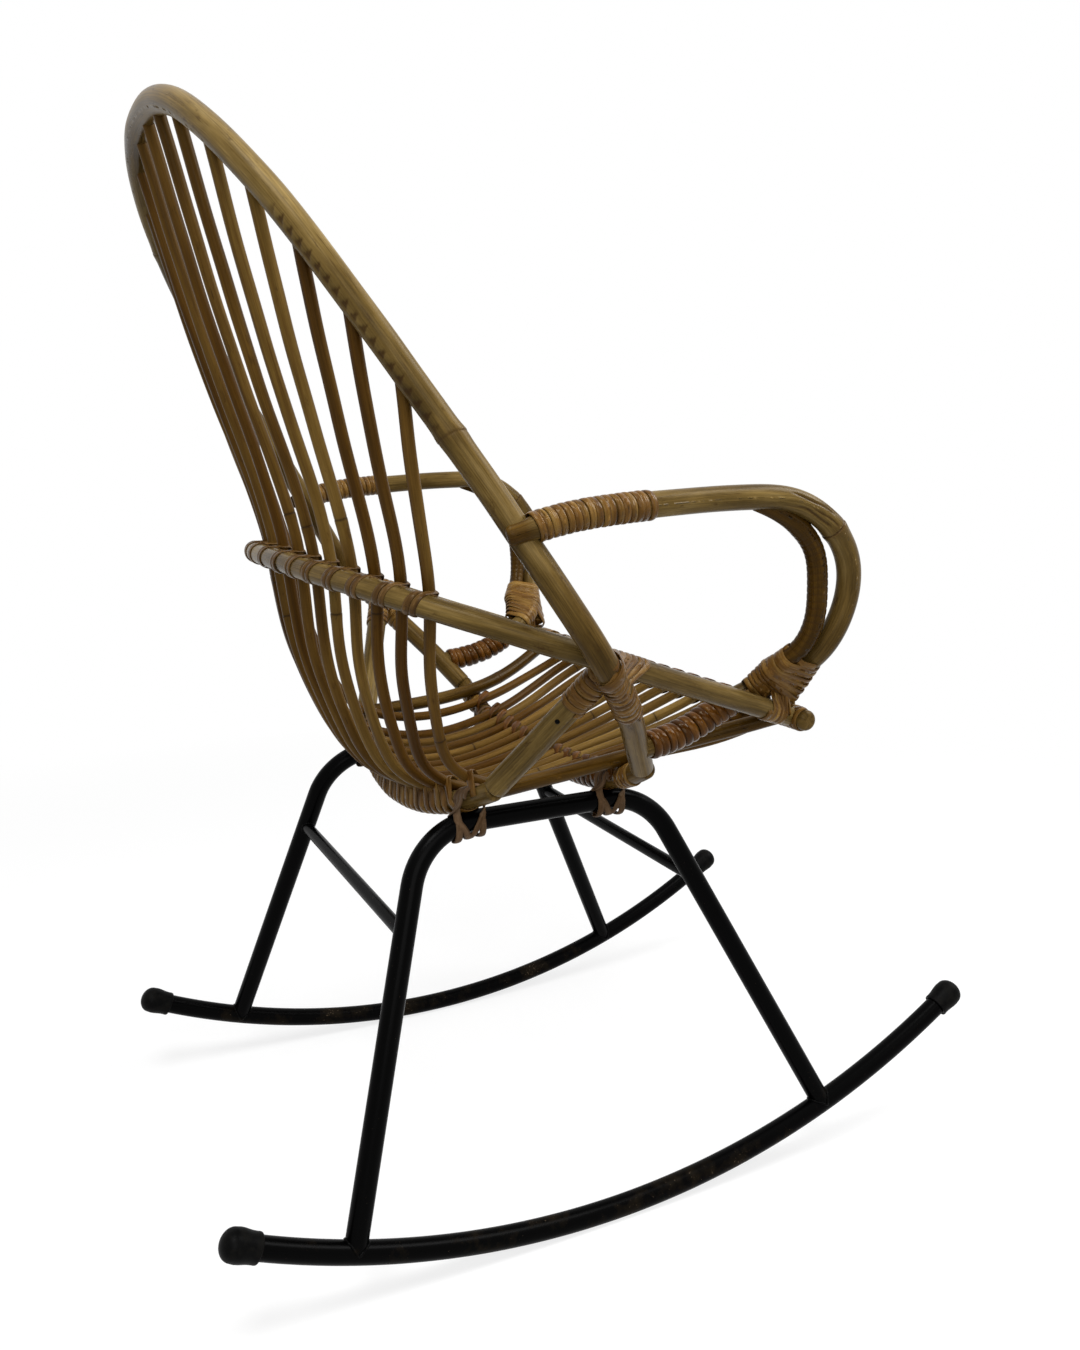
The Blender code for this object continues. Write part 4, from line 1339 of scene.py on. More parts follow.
    @staticmethod
    def split(s: np.ndarray, turn: np.ndarray) -> np.ndarray:
        """A drying crack that runs slantwise along a brace.

        Args:
            s: Distances along the brace, as a column.
            turn: Angles round it, as a row.

        Returns:
            Depths from 0 to 1.
        """
        first, last, half_wide = 0.05, 0.135, 0.14
        middle = 0.15 - 4.0 * (s - 0.11)
        off = abs((turn - middle + math.pi) % (2 * math.pi) - math.pi)
        return np.clip(1 - off / half_wide, 0, 1) * rise(s, first, 0.015) * rise(s, last, -0.02)

    def build(self) -> None:
        """Makes the poles and dresses them."""
        look = POLE_LOOK.material()
        up = (0, 0, 1)

        def lay(node: str, *size: Any, **more: Any) -> None:
            """Makes and dresses one pole from its line, radius, up and what else sets it apart."""
            pole = Pole(f"{node}_pole", *size, wobble=self.WOBBLE, uneven=self.UNEVEN, **more)
            settle(pole.build(), look, Slot.POLE, node)

        lay("back_hoop", self.hoop, self.hoop_r, (0, 0.83, -0.55), rings=self.HOOP_RINGS, swell=0.09,
            ring_line=0.5, ring_slant=0.004, sides=56, step=0.0014, dents=self.gnawed, dent_deep=0.0005,
            tint=self.hoop_tint)
        lay("belt_rail", self.rail, self.rail_r, up, rings=self.RAIL_RINGS, tint=0.76)
        lay("crossbar_rear", self.rear_bar, self.bar_r, up, rings=self.REAR_RINGS)
        lay("crossbar_front", self.front_bar, self.bar_r, up, rings=self.FRONT_RINGS, tint=0.35)
        lay("bar_front_edge", self.edge_bar, self.bar_r, up, rings=self.EDGE_RINGS, soft=0.005, tint=0.4)
        for word, side in SIDES.items():
            out = (side, 0, 0)
            lay(f"arm_{word}", self.arm_line(side, 500), self.arm_r, out, rings=self.ARM_RINGS, swell=0.10,
                soft=0.004, sides=64, step=0.002, flat=self.tongue, tint=self.tongue_tint,
                dents=self.cracked, dent_deep=0.0012)
            # The inner arc's near-brown tone is partly its own colour, partly painted shade inside the arm's
            # bend
            lay(f"arm_inner_arc_{word}", self.inner_line(side, 200), self.inner_r, out, sides=32, step=0.001,
                flat=self.feather, tint=0.05, dents=self.wrinkled, dent_deep=0.0006)
            foot, top = self.brace_ends(side)
            ends = [towards(foot, top, self.bar_r * self.cope), towards(top, foot, self.rail_r * self.cope)]
            lay(f"brace_{word}", np.linspace(*ends, 40), self.brace_r, out, sides=36, step=0.002, tint=1.0,
                dents=self.split, dent_deep=0.0014)
            lay(f"seat_side_pole_{word}", self.side_line(side), self.side_r, out, rings=self.SIDE_RINGS,
                tint=0.12)


@dataclass
class CaneShell:
    """Fifteen canes from the hoop, down inside the belt rail and over both crossbars to the front edge."""

    poles: PoleFrame
    a_side: int = 7
    # Room that the lashing takes beside a steel bar, and the canes' pitch along the front edge
    lash_room: float = 0.0172
    edge_pitch: float = 0.0285
    # How far to each side the canes spread along the rail and the hoop, and how they crowd outwards
    rail_spread: float = 0.239
    rail_crowd: float = 0.85
    hoop_spread: float = 0.394
    crowd: float = 1.06
    # Share of the way from hoop to belt after which a cane may bend, and the roundness of the bowl below
    straight: float = 0.62
    bowl_power: float = 1.75
    # A cane's radius as a share of its solid's
    full: float = 1.07

    # Shares across and down, from the belt to the rear crossbar
    BOWL = ((0.32, 0.35), (0.68, 0.68), (0.955, 0.92))
    # Leaf rings: how many, least and greatest distance between them, and how far they are moved up
    RINGS = 3
    RING_GAP = (0.32, 0.55)
    RING_LIFT = 0.1
    # Tones of the canes, where a cane turns paler towards the seat, where it is sat on, and by how much
    TINTS = (0.15, 0.35, 0.5, 0.75)
    SEAT = (0.74, 0.86)
    SEAT_PALER = 0.3
    # Seed of the middle cane's chance
    SEED = 40

    def keys(self) -> range:
        """Canes, counted from the middle."""
        return range(-self.a_side, self.a_side + 1)

    def rail_stop(self, k: int) -> float:
        """How far along the rail cane k crosses it."""
        share = (abs(k) / self.a_side) ** self.rail_crowd
        return lengths(self.poles.rail)[-1] / 2 + math.copysign(self.rail_spread * share, k)

    def rail_in(self, k: int) -> np.ndarray:
        """Square to the rail and level, towards the sitter, where cane k crosses it."""
        _, way = at(self.poles.rail, self.rail_stop(k))
        return unit(np.cross(way, (0, 0, 1)))

    def seat_x(self, k: int) -> float:
        """Places cane k on the crossbars: the outermost of each side stands beyond the lashing.

        Args:
            k: The cane, counted from the middle.

        Returns:
            Its distance from the middle, below 0 on the right.
        """
        top_x, n = self.poles.base.top_x, abs(k)
        pitch = (top_x - self.lash_room) / (self.a_side - 1)
        return math.copysign(n * pitch if n < self.a_side else top_x + self.lash_room, k)

    def line(self, k: int, steps: int) -> Line:
        """Bends cane k.

        Args:
            k: The cane, counted from the middle.
            steps: Steps between the points that it is bent through.

        Returns:
            Its centre line, from the hoop to the front edge.
        """
        p = self.poles
        share = abs(k) / self.a_side
        middle = lengths(p.hoop)[-1] / 2
        top, _ = at(p.hoop, middle + math.copysign(self.hoop_spread * share ** self.crowd, k))
        on_rail, _ = at(p.rail, self.rail_stop(k))
        belt = on_rail + self.rail_in(k) * (p.rail_r + p.cane_r + 2 * p.gap)
        rear = p.over_bar(p.rear_bar, self.seat_x(k), p.cane_rise)
        front = p.over_bar(p.front_bar, self.seat_x(k), p.cane_rise)
        power = self.bowl_power
        drop = [belt + (rear - belt) * (f, 1 - (1 - d ** power) ** (1 / power), d) for f, d in self.BOWL]
        ahead = np.array((0, -math.cos(p.edge_tilt), math.sin(p.edge_tilt)))
        edge = np.array((k * self.edge_pitch, p.edge_y, p.edge_z)) + p.edge_under * p.cane_rise
        on_way = top + (belt - top) * self.straight
        return through([top, on_way, belt, *drop, rear, front, edge, edge + ahead * p.bar_r], steps=steps)

    def build(self) -> None:
        """Makes the canes and dresses them."""
        look = CANE_LOOK.material()
        for k in self.keys():
            node = f"cane_{k + self.a_side + 1:02d}"
            rng = np.random.default_rng(self.SEED + k)
            rings = np.cumsum(rng.uniform(*self.RING_GAP, self.RINGS)) - self.RING_LIFT
            low = float(rng.choice(self.TINTS))
            tones = (low, low + self.SEAT_PALER)
            pole = Pole(f"{node}_rod", self.line(k, 60), self.full * self.poles.cane_r, (1, 0, 0), sides=14,
                        soft=0.0015, rings=rings, swell=0.06, wobble=0.0005, uneven=0.03,
                        tint=lambda s, tones=tones: np.interp(s, self.SEAT, tones))
            settle(pole.build(), look, Slot.CANE, node)


@dataclass(frozen=True)
class Partner:
    """A pole that a winding takes in besides its own.

    Attributes:
        line: Its centre line, or the stretch of it that is wound.
        radius: Its radius.
        fan: Whether the turns fan out along that stretch, from its first point to its last.
        reach: How far ahead of a turn the partner may lie and still be taken in.
    """

    line: Line
    radius: float
    fan: bool = False
    reach: float = 0.055

    # How much a place's distance counts beside how far ahead it lies, and the best hold, before it ends at 1
    DISTANCE_SHARE = 0.2
    FIRM = 1.1

    def seen_from(self, here: np.ndarray, way: np.ndarray, share: float) -> tuple[np.ndarray, float]:
        """Where the partner lies at one place of a winding.

        Args:
            here: The place on the winding's own pole.
            way: Direction of that pole.
            share: How much of the winding lies behind.

        Returns:
            The way to the partner's centre line, and how firmly it is held, from 0 to 1.
        """
        if self.fan:
            return self.line[round(share * (len(self.line) - 1))] - here, 1.0
        gaps = self.line - here
        near = gaps[np.argmin(abs(gaps @ way) + self.DISTANCE_SHARE * np.linalg.norm(gaps, axis=1))]
        ahead = abs(near @ way)
        aside = near - way * (near @ way)
        return aside, float(np.clip(self.FIRM - self.FIRM * ahead / self.reach, 0, 1))


@dataclass
class StripWork:
    """Everything that is wound by hand: ties over the canes, wraps on arms and joints, lashings."""

    base: SteelBase
    poles: PoleFrame
    canes: CaneShell
    # Thickness of a strip, and the gap under it
    thick: float = 0.0015
    lie: float = 0.0002
    # Ties: thickness and width, and how far a turn strays along the bar as it crosses a cane
    tie_thick: float = 0.0011
    tie_w: float = 0.0062
    tie_slant: float = 0.0068
    # Ties that cover a crossbar: the same stray, and shares of the usual thickness
    cover_slant: float = 0.0075
    cover_rear: float = 1.5
    cover_front: float = 0.8
    # Wraps: width, pitch, and the closer pitch on the arm's rear and the brace
    wrap_w: float = 0.0066
    wrap_pitch: float = 0.0062
    close_pitch: float = 0.0058
    # Where the wraps on the arm start, from its rear end, and what sets the lower one apart
    rear_from: float = 0.020
    front_from: float = 0.432
    lower_from: float = 0.512
    lower_pitch: float = 0.0083
    lower_thick: float = 0.0028
    # The front wrap's width as a share of the usual one
    front_wide: float = 1.25
    # Cane ends that pack the front wrap: radius, start along the arm, how far they end from the rail's end
    # and above the rail, and how far ahead of a turn they are still taken in
    pack_r: float = 0.0078
    pack_from: float = 0.426
    pack_inset: float = 0.011
    pack_lift: float = 0.0150
    pack_reach: float = 0.004
    # Turns near the rail's end: start, pitch, and the stretch of the arm that they take in
    rail_inset: float = 0.018
    rail_pitch: float = 0.0044
    rail_takes: Pair = (0.470, 0.490)
    # Joint of hoop and rail, from the crossing: where the hoop's wrap and the rail's start, the rail's pitch
    # and the stretch of the hoop that it takes in, place and tilt of the strap
    hoop_wrap_off: float = 0.033
    rail_wrap_off: float = 0.010
    rail_wrap_pitch: float = 0.0060
    hoop_takes: Pair = (0.006, 0.040)
    strap_off: float = 0.012
    strap_tilt: float = 0.004
    # Where the short turns at the bars' ends start, from the middle
    edge_turns_x: float = 0.226
    front_turns_x: float = 0.168
    # Shares of the brace's length at which its wrap starts and its nail sits
    brace_wrap_at: float = 0.69
    nail_at: float = 0.61
    nail_r: float = 0.0021
    lash_w: float = 0.0070
    lash_slack: float = 0.0045

    # Steps of a turn and of the outline that it lies on, the share of the pitch by which turns stray, and in
    # waves of how many turns
    TURN_STEPS = 36
    OUTLINE_STEPS = 96
    STRAY = 0.12
    STRAY_WAVE = 2.3
    # A strap's reach to each side in degrees, and its width as a share of a wrap's
    STRAP_REACH = 115
    STRAP_WIDE = 1.35
    # Ties: the gap over a cane, how near a cane's points count, and the strip's share of the canes' distance
    TIE_CLEAR = 0.0003
    NEAR = 0.05
    COVER = 0.44
    # Angles at which a tie runs along the inside of a bar from one cane to the next
    ALONG_INSIDE = (-60, -35, -28, -28, -35, -60)
    # A lashing's passes: side of the bar on which it comes down, place under the tube, place on the bar
    PASSES = ((-1, -1.2, 2.0), (-1, -0.05, 1.25), (1, 0.05, 0.5), (1, 1.2, -0.25))
    # A nail head's outline, as shares of its radius
    NAIL = ((0.0, 0.8), (0.5, 0.7), (0.85, 0.42), (1.0, 0.16), (1.0, -0.2), (0.4, -0.5))

    def wound(self, name: str, line: Line, start: float, turns: int, radius: float, up: Any,
              pitch: float = 0.0, thick: float = 0.0, wide: float = 0.0,
              partners: Sequence[Partner] = ()) -> Object:
        """A strip wound round a pole, or round it and partners that lie beside it.

        Args:
            name: Name of the piece.
            line: The pole's centre line.
            start: Where along it the winding starts.
            turns: How many turns it has.
            radius: The pole's radius.
            up: Direction in which a turn starts.
            pitch: Step from turn to turn, below 0 for one that runs back, or 0 for the usual one.
            thick: Thickness of the strip, or 0 for the usual one.
            wide: Width of the strip, or 0 for one that covers the pole.
            partners: Other poles that it takes in.

        Returns:
            The strip, without a finish.
        """
        pitch, thick = pitch or self.wrap_pitch, thick or self.thick
        steps = self.TURN_STEPS
        count = turns * steps + 1
        s = start + pitch * np.arange(count) / steps
        jitter = self.STRAY * pitch * waver(np.arange(count) / steps, name, self.STRAY_WAVE)
        here, way, u, v = frames(line, s + jitter, up)
        wide = wide or self.wrap_w * abs(pitch) / self.wrap_pitch
        round_turn = np.linspace(0, 2 * math.pi, self.OUTLINE_STEPS + 1)
        points, faces = [], []
        for i in range(count):
            face = np.cos(round_turn)[:, None] * u[i] + np.sin(round_turn)[:, None] * v[i]
            middles, radii = [np.zeros(3)], [radius + self.lie]
            for partner in partners:
                near, hold = partner.seen_from(here[i], way[i], i / (count - 1))
                middles.append(near * hold)
                radii.append((partner.radius + self.lie) * hold)
            # In each direction the strip lies on whichever pole stands out most
            best = (face @ np.array(middles).T + np.array(radii)).argmax(axis=1)
            outline = np.array(middles)[best] + np.array(radii)[best, None] * face
            run = lengths(outline)
            share = (i % steps) / steps * run[-1]
            points.append(here[i] + [np.interp(share, run, outline[:, j]) for j in range(3)])
            faces.append(unit(np.array([np.interp(share, run, face[:, j]) for j in range(3)])))
        return Strip(name, wide, thick).build(np.array(points), np.array(faces))

    def strap(self, name: str, line: Line, middle: float, radius: float, up: Any, tilt: float) -> Object:
        """One short strip laid slantwise over the outside of a pole, its ends tucked behind.

        Args:
            name: Name of the piece.
            line: The pole's centre line.
            middle: Where along it the strip's middle lies.
            radius: Radius of what the strip lies on.
            up: Direction in which the strip's middle faces.
            tilt: How far along the pole it runs while it turns by one radian.

        Returns:
            The strip, without a finish.
        """
        angle = np.radians(np.linspace(-self.STRAP_REACH, self.STRAP_REACH, 41))
        here, _, u, v = frames(line, middle + tilt * angle, up)
        outs = np.cos(angle)[:, None] * u + np.sin(angle)[:, None] * v
        return Strip(name, self.STRAP_WIDE * self.wrap_w, self.thick).build(
            here + (radius + self.lie) * outs, outs)

    def ties(self, name: str, bar: Line, bar_r: float, stop_of: Callable[[int], float],
             up_of: Callable[[int], Any], slant: float, step: float, thick: float) -> Object:
        """One strip wound along a bar that ties every cane to it, pulled tight over the canes.

        Args:
            name: Name of the piece.
            bar: Centre line of the bar.
            bar_r: Its radius.
            stop_of: How far along the bar a cane crosses it.
            up_of: Direction from the bar to the cane there.
            slant: How far along the bar a turn strays to each side of its middle as it crosses a cane.
            step: From one turn to the next of a pair, or 0 where turns between the canes cover the bar too.
            thick: Thickness of the strip.

        Returns:
            The strip, without a finish.
        """
        cane_r, reach, dense = self.poles.cane_r, bar_r + self.lie, not step
        clear = cane_r + self.lie + self.TIE_CLEAR
        keys = list(self.canes.keys())
        turns: list[tuple[int, float]] = []
        for k in keys:
            stop = stop_of(k)
            if dense:
                turns.append((k, stop))
                if k < keys[-1] and abs(k) < self.canes.a_side:
                    turns.append((k, (stop + stop_of(k + 1)) / 2))
            else:
                turns += [(k, stop - step / 2), (k, stop + step / 2)]
        t = np.linspace(-1, 1, 17)
        points, outs = [], []

        def lay(along: np.ndarray, a: np.ndarray, b: np.ndarray, up: Any) -> None:
            """Adds points to the strip.

            Args:
                along: Distances along the bar.
                a: Distances from its centre line towards the cane.
                b: Distances across.
                up: Direction to the cane.
            """
            here, _, u, v = frames(bar, along, up)
            off = a[:, None] * u + b[:, None] * v
            points.extend(here + off)
            outs.extend(unit(off))

        for number, (k, middle) in enumerate(turns):
            stop, up = stop_of(k), np.array(up_of(k), float)
            here, way, u, v = frames(bar, stop, up)
            seen = (self.canes.line(k, 24) - here) @ np.stack([u, v, way], 1)
            seen = seen[(abs(seen[:, 1]) < self.NEAR) & (abs(seen[:, 0] - bar_r) < self.NEAR)]
            seen = seen[np.argsort(seen[:, 1])]
            along, b = middle + slant * t, reach * t
            low = np.sqrt(np.maximum(reach ** 2 - b ** 2, 0))
            aside = along - stop - np.interp(b, seen[:, 1], seen[:, 2])
            over = np.interp(b, seen[:, 1], seen[:, 0]) + np.sqrt(np.maximum(clear ** 2 - aside ** 2, 0))
            lay(along, taut(t, np.where(abs(aside) < clear, np.maximum(low, over), low)), b, up)
            if number + 1 == len(turns):
                break
            after, following = turns[number + 1]
            turn = np.linspace(math.pi / 2, 3 * math.pi / 2, 19)[1:-1]
            goal = following if dense or after == k else middle + step
            run = np.linspace(middle + slant, goal - slant, 19)[1:-1]
            lay(run, reach * np.cos(turn), reach * np.sin(turn), up)
            if not dense and after != k:
                # From one cane to the next the strip runs along the inside of the bar
                turn = np.radians(self.ALONG_INSIDE)
                run = goal - slant + (following - goal) * np.linspace(0, 1, len(turn))
                mid = unit(up + np.array(up_of(after), float))
                lay(run, reach * np.cos(turn), reach * np.sin(turn), mid)
        wide = step or self.COVER * abs(stop_of(1) - stop_of(0))
        return Strip(name, wide, thick).build(np.array(points), np.array(outs))

    def lash(self, name: str, bar: Line, side: int) -> Object:
        """Ties a crossbar to the steel: four passes over the bar that stand as an M on the tube's outside.

        Args:
            name: Name of the piece.
            bar: Centre line of the crossbar.
            side: Which side frame it is tied to.

        Returns:
            The strip, without a finish.
        """
        x, y, z = self.poles.on_bar(bar, side * self.base.top_x)
        steel = self.base.frame_line(side)
        steel = steel[steel[:, 2] > self.base.top_z - 3 * self.base.tube_r][::-1]
        tube, bar_r = self.base.tube_r + self.lie, self.poles.bar_r + self.lie
        points, outs = [], []
        # Degrees from a bar's top at which a pass leaves it, and round the tube at which it comes and goes
        off_bar, comes, under, goes, slope = 95, 62, 180, 298, 100
        for way, foot, place in self.PASSES:
            over_x = x + side * place * tube
            over_z = self.poles.on_bar(bar, over_x)[2]
            for angle in np.radians(np.linspace(-off_bar, off_bar, 9)) * way:
                points.append((over_x, y + bar_r * math.sin(angle), over_z + bar_r * math.cos(angle)))
                outs.append((0, math.sin(angle), math.cos(angle)))
            for angle in np.linspace(comes, goes, 11):
                share, back = rise(angle, comes, slope), rise(angle, under, goes - under)
                b = bar_r * ((1 - share) * 1.15 * way + share * foot) * (1 - back) - back * 1.1 * way * bar_r
                level = float(np.interp(y + b, steel[:, 1], steel[:, 2]))
                turn = math.radians(angle)
                reach = tube + self.lash_slack * max(0.0, -math.cos(turn)) ** 2
                points.append((x + side * reach * math.sin(turn), y + b, level + reach * math.cos(turn)))
                outs.append((side * math.sin(turn), 0, math.cos(turn)))
        fine = through(points, steps=5)
        share = np.linspace(0, len(outs) - 1, len(fine))
        ways = np.stack([np.interp(share, range(len(outs)), np.array(outs)[:, j]) for j in range(3)], -1)
        return Strip(name, self.lash_w, self.thick).build(fine, unit(ways))

    def nail(self, name: str, place: np.ndarray, way: np.ndarray) -> Object:
        """A small domed nail head with a rim.

        Args:
            name: Name of the piece.
            place: Where it sits on the pole's skin.
            way: Direction out of the pole.

        Returns:
            The nail head, without a finish.
        """
        return turned(name, [(self.nail_r * a, self.nail_r * b) for a, b in self.NAIL], place, way, steps=20)

    def bind(self, look: Material, dark: Material, flat: Material) -> None:
        """Ties the canes to the bars.

        Args:
            look: Finish of the rear crossbar's strip.
            dark: Finish of the strips in front.
            flat: Finish of the belt's strip.
        """
        p, canes = self.poles, self.canes

        def seat_stop(bar: Line) -> Callable[[int], float]:
            """Where along a crossbar each cane crosses it."""
            return lambda k: p.along_bar(bar, canes.seat_x(k))

        def edge_stop(k: int) -> float:
            """Where along the edge bar cane k crosses it."""
            return p.along_bar(p.edge_bar, k * canes.edge_pitch)

        # Finish, bar, its radius, where each cane crosses it and lies from it, stray, pair's step, thickness
        rows = {"binding_belt": (flat, p.rail, p.rail_r, canes.rail_stop, canes.rail_in,
                                 self.tie_slant, self.tie_w, self.tie_thick),
                "binding_crossbar_rear": (look, p.rear_bar, p.bar_r, seat_stop(p.rear_bar),
                                          lambda k: (0, 0, 1), self.cover_slant, 0.0,
                                          self.cover_rear * self.thick),
                "binding_crossbar_front": (dark, p.front_bar, p.bar_r, seat_stop(p.front_bar),
                                           lambda k: (0, 0, 1), self.cover_slant, 0.0,
                                           self.cover_front * self.thick),
                "binding_front_edge": (dark, p.edge_bar, p.bar_r, edge_stop, lambda k: p.edge_under,
                                       self.tie_slant, self.tie_w, self.tie_thick)}
        for node, (finish, *row) in rows.items():
            settle(self.ties(f"{node}_strip", *row), finish, Slot.STRIP, node)

    def wrap_poles(self, word: str, side: int, look: Material, dark: Material) -> None:
        """Winds the wraps that lie on one pole each.

        Args:
            word: The side's name.
            side: 1 for the left, -1 for the right.
            look: The usual finish.
            dark: Finish of the wrap on the arm's lower end.
        """
        p, out, under = self.poles, (side, 0, 0), (0, 0, -1)
        arm, brace = p.arm_line(side, 600), np.linspace(*p.brace_ends(side), 60)
        on_brace = lengths(brace)[-1] * self.brace_wrap_at
        on_hoop = p.crossing(side) + side * self.hoop_wrap_off - (0 if side > 0 else 7 * self.wrap_pitch)
        # Finish, pole, start, turns, radius, side on which it starts, pitch, thickness
        wraps = {"wrap_arm_rear": (look, arm, self.rear_from, 17, p.arm_r, under, self.close_pitch),
                 "wrap_arm_lower": (dark, arm, self.lower_from, 12, p.arm_r, under, self.lower_pitch,
                                    self.lower_thick),
                 "wrap_joint_hoop": (look, p.hoop, on_hoop, 7, p.hoop_r, out),
                 "wrap_brace": (look, brace, on_brace, 7, p.brace_r, out, self.close_pitch)}
        for node, (finish, *row) in wraps.items():
            settle(self.wound(f"{node}_{word}_strip", *row), finish, Slot.STRIP, f"{node}_{word}")

    def wrap_front(self, word: str, side: int, look: Material) -> None:
        """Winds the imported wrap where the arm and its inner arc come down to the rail.

        Args:
            word: The side's name.
            side: 1 for the left, -1 for the right.
            look: The finish.
        """
        p, out, arm = self.poles, (side, 0, 0), self.poles.arm_line(side, 600)
        run, rail_end = lengths(arm), lengths(p.rail)[-1] if side > 0 else 0.0
        # The wrap is packed with cane ends that run from the arm down to the rail
        top, foot = at(arm, self.pack_from)[0], at(p.rail, rail_end - side * self.pack_inset)[0]
        pack = np.linspace(top, foot + (0, 0, self.pack_lift), 60)
        settle(Pole(f"packing_front_{word}", pack, self.pack_r, out, tint=0.2).build(), look, Slot.STRIP)
        partners = [Partner(p.inner_line(side, 200), p.inner_r),
                    Partner(pack, self.pack_r, reach=self.pack_reach)]
        node = f"wrap_arm_front_{word}"
        strip = self.wound(f"{node}_strip", arm, self.front_from, 11, p.arm_r, out,
                           wide=self.front_wide * self.wrap_w, partners=partners)
        settle(strip, look, Slot.STRIP, node)
        first, last = self.rail_takes
        taken = Partner(arm[(run > first) & (run < last)], p.arm_r, fan=True)
        strip = self.wound(f"turns_rail_{word}", p.rail, rail_end - side * self.rail_inset, 5, p.rail_r, out,
                           -side * self.rail_pitch, wide=self.wrap_w, partners=[taken])
        settle(strip, look, Slot.STRIP)

    def wrap_joint(self, word: str, side: int, look: Material) -> None:
        """Winds the joint of hoop and rail, and the short turns at the ends of the bars in front.

        Args:
            word: The side's name.
            side: 1 for the left, -1 for the right.
            look: The finish.
        """
        p, out, crossing = self.poles, (side, 0, 0), self.poles.crossing(side)
        ahead = p.rail_at(side, p.rail_wide_y) + side * self.rail_wrap_off
        run, where = lengths(p.hoop), crossing + side * np.array(self.hoop_takes)
        taken = Partner(p.hoop[(run > where.min()) & (run < where.max())][::side], p.hoop_r, fan=True)
        node = f"wrap_joint_rail_{word}"
        strip = self.wound(f"{node}_strip", p.rail, ahead, 7, p.rail_r, out, side * self.rail_wrap_pitch,
                           partners=[taken])
        settle(strip, look, Slot.STRIP, node)
        strip = self.strap(f"strap_joint_{word}", p.hoop, crossing + side * self.strap_off,
                           p.hoop_r + self.thick, out, -side * self.strap_tilt)
        settle(strip, look, Slot.STRIP)
        ends = {"edge": (p.edge_bar, self.edge_turns_x, 6), "front": (p.front_bar, self.front_turns_x, 4)}
        for end, (bar, x, turns) in ends.items():
            strip = self.wound(f"turns_{end}_{word}", bar, p.along_bar(bar, side * x), turns, p.bar_r,
                               (0, 0, 1), side * self.wrap_pitch)
            settle(strip, look, Slot.STRIP)

    def build(self) -> None:
        """Lays all the strips, sets the nails and dresses them."""
        look, dark, dry, flat = [finish.material() for finish in
                                 (STRIP_LOOK, DARK_STRIP_LOOK, LASHING_LOOK, FLAT_STRIP_LOOK)]
        nail_look = Enamel("blackened_nail").material()
        p = self.poles
        self.bind(look, dark, flat)
        for word, side in SIDES.items():
            self.wrap_poles(word, side, look, dark)
            self.wrap_front(word, side, look)
            self.wrap_joint(word, side, look)
            brace = np.linspace(*p.brace_ends(side), 60)
            here, _, face, _ = frames(brace, lengths(brace)[-1] * self.nail_at, (side, 0.45, 0.3))
            settle(self.nail(f"nail_brace_{word}", here + p.brace_r * face, face), nail_look, Slot.STEEL)
            for end, bar in (("rear", p.rear_bar), ("front", p.front_bar)):
                node = f"lashing_{end}_{word}"
                settle(self.lash(f"{node}_strip", bar, side), dry, Slot.STRIP, node)


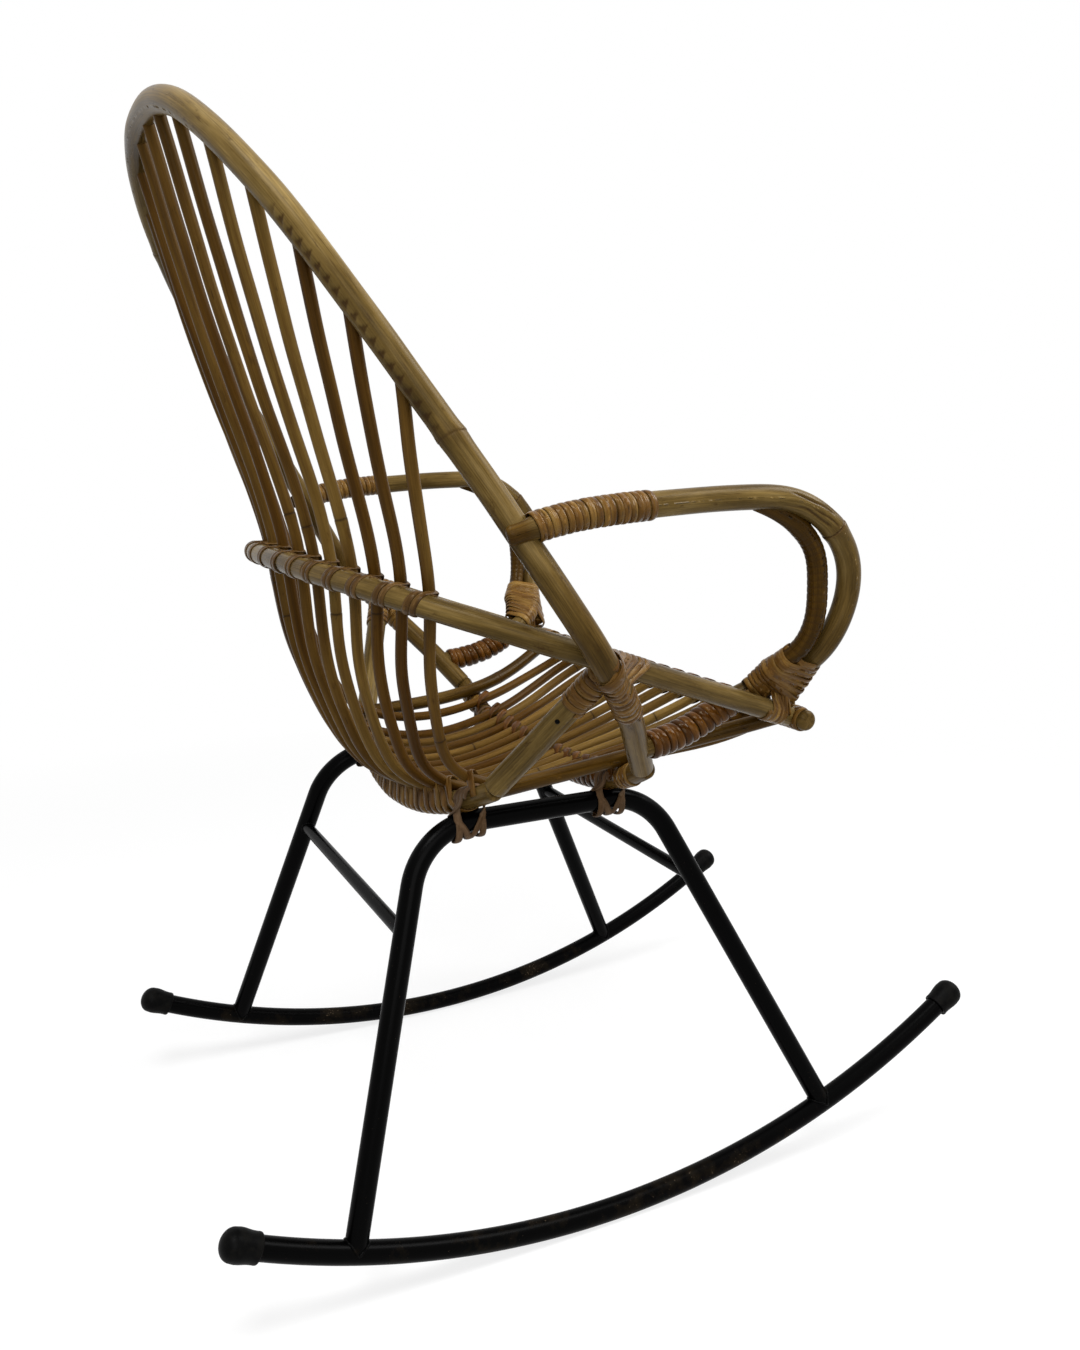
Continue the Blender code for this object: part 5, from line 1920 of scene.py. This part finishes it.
@dataclass
class Studio:
    """Camera, white floor and soft light."""

    # Camera: place, turn, dip and roll in degrees, and its focal length in the photograph's pixels
    eye: Triple = (-1.0406, 0.5077, 0.7083)
    heading: float = 26.27
    dip: float = 11.39
    roll: float = -0.39
    focal_px: float = 1132.3
    image_px: float = 1080.0
    sensor_mm: float = 36.0
    # Floor: radius, its grey as the chair and the camera have it, its glow, and where it fades to white
    floor_r: float = 6.0
    floor_grey: float = 0.40
    shadow_grey: float = 0.30
    floor_glow: float = 0.76
    fade: Pair = (0.9, 1.8)
    # Even light from all round, and what the lamps aim at
    ambient: float = 0.26
    aim: Triple = (0.0, 0.0, 0.5)

    # Place, width and watts of each lamp
    LAMPS = {"key": ((-0.9, 0.9, 2.9), 1.1, 46.0), "fill": ((-2.2, 0.6, 1.4), 1.6, 21.0),
             "front": ((-0.6, -1.7, 2.1), 1.2, 36.0)}
    WHITE = (1, 1, 1, 1)

    def camera(self) -> None:
        """The camera at the photograph's angle."""
        data = bpy.data.cameras.new("camera")
        data.sensor_fit = "HORIZONTAL"
        data.sensor_width = self.sensor_mm
        data.lens = self.focal_px / self.image_px * self.sensor_mm
        obj = bpy.data.objects.new("camera", data)
        turn, dip = math.radians(self.heading), math.radians(self.dip)
        look = Vector((math.cos(turn) * math.cos(dip), -math.sin(turn) * math.cos(dip), -math.sin(dip)))
        spin = Matrix.Rotation(math.radians(self.roll), 3, "Z")
        obj.location = self.eye
        obj.rotation_euler = (look.to_track_quat("-Z", "Y").to_matrix() @ spin).to_euler()
        bpy.context.scene.collection.objects.link(obj)
        bpy.context.scene.camera = obj

    def seen(self, tree: NodeTree) -> NodeSocket:
        """Tells what the camera sees, straight, mirrored or through glass.

        Args:
            tree: The tree of the material or the world.

        Returns:
            An output that is 1 for what is seen.
        """
        path = add_node(tree, "LightPath").outputs
        seen = path["Is Camera Ray"]
        for ray in ("Is Glossy Ray", "Is Transmission Ray"):
            seen = add_node(tree, "Math", links={0: seen, 1: path[ray]}, operation="MAXIMUM").outputs[0]
        return seen

    def floor(self) -> None:
        """A pale round floor that is white to the camera and keeps the chair's shadow."""
        bm = bmesh.new()
        bmesh.ops.create_circle(bm, cap_ends=True, radius=self.floor_r, segments=96)
        obj = as_object("floor", bm)
        mat, tree, _ = new_material("pale_floor")
        tree.nodes.clear()
        plain, shade = [add_node(tree, "BsdfDiffuse", {"Color": (grey, grey, grey, 1)})
                        for grey in (self.floor_grey, self.shadow_grey)]
        glow, white = [add_node(tree, "Emission", {"Color": self.WHITE, "Strength": strength})
                       for strength in (self.floor_glow, 1.0)]
        lit = add_node(tree, "AddShader", links={0: shade, 1: glow})
        place = add_node(tree, "TexCoord").outputs["Object"]
        away = add_node(tree, "VectorMath", links={0: place}, operation="LENGTH").outputs["Value"]
        fade = add_node(tree, "MapRange", dict(zip(RANGE, self.fade)), {"Value": away})
        faded = add_node(tree, "MixShader", links={0: fade, 1: lit, 2: white})
        mixed = add_node(tree, "MixShader", links={0: self.seen(tree), 1: plain, 2: faded})
        add_node(tree, "OutputMaterial", links={"Surface": mixed})
        obj.data.materials.append(mat)

    def world(self) -> None:
        """White to the camera, a soft even light to the chair."""
        world = bpy.data.worlds.new("studio")
        world.use_nodes = True
        tree = world.node_tree
        tree.nodes.clear()
        soft, white = [add_node(tree, "Background", {"Color": self.WHITE, "Strength": strength})
                       for strength in (self.ambient, 1.0)]
        mixed = add_node(tree, "MixShader", links={0: self.seen(tree), 1: soft, 2: white})
        add_node(tree, "OutputWorld", links={"Surface": mixed})
        bpy.context.scene.world = world

    def lamp(self, name: str, place: Triple, size: float, watts: float) -> None:
        """Sets a square soft light that is aimed at the seat.

        Args:
            name: The lamp's name.
            place: Where it hangs.
            size: Its width.
            watts: Its power.
        """
        data = bpy.data.lights.new(name, "AREA")
        data.size = size
        data.energy = watts
        obj = bpy.data.objects.new(name, data)
        obj.location = place
        obj.rotation_euler = (Vector(self.aim) - Vector(place)).to_track_quat("-Z", "Y").to_euler()
        bpy.context.scene.collection.objects.link(obj)

    def build(self) -> None:
        """Sets the whole studio."""
        self.camera()
        self.floor()
        self.world()
        for name, row in self.LAMPS.items():
            self.lamp(name, *row)
        bpy.context.scene.view_settings.view_transform = "Standard"


def write_sizes() -> None:
    """Updates the view layer."""
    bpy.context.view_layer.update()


def main() -> None:
    """Builds the chair and the studio."""
    logging.basicConfig(level=logging.INFO, format="%(name)s %(message)s")
    base = SteelBase()
    poles = PoleFrame(base)
    canes = CaneShell(poles)
    for assembly in (base, poles, canes, StripWork(base, poles, canes), Studio()):
        assembly.build()
    write_sizes()


if __name__ == "__main__":
    main()
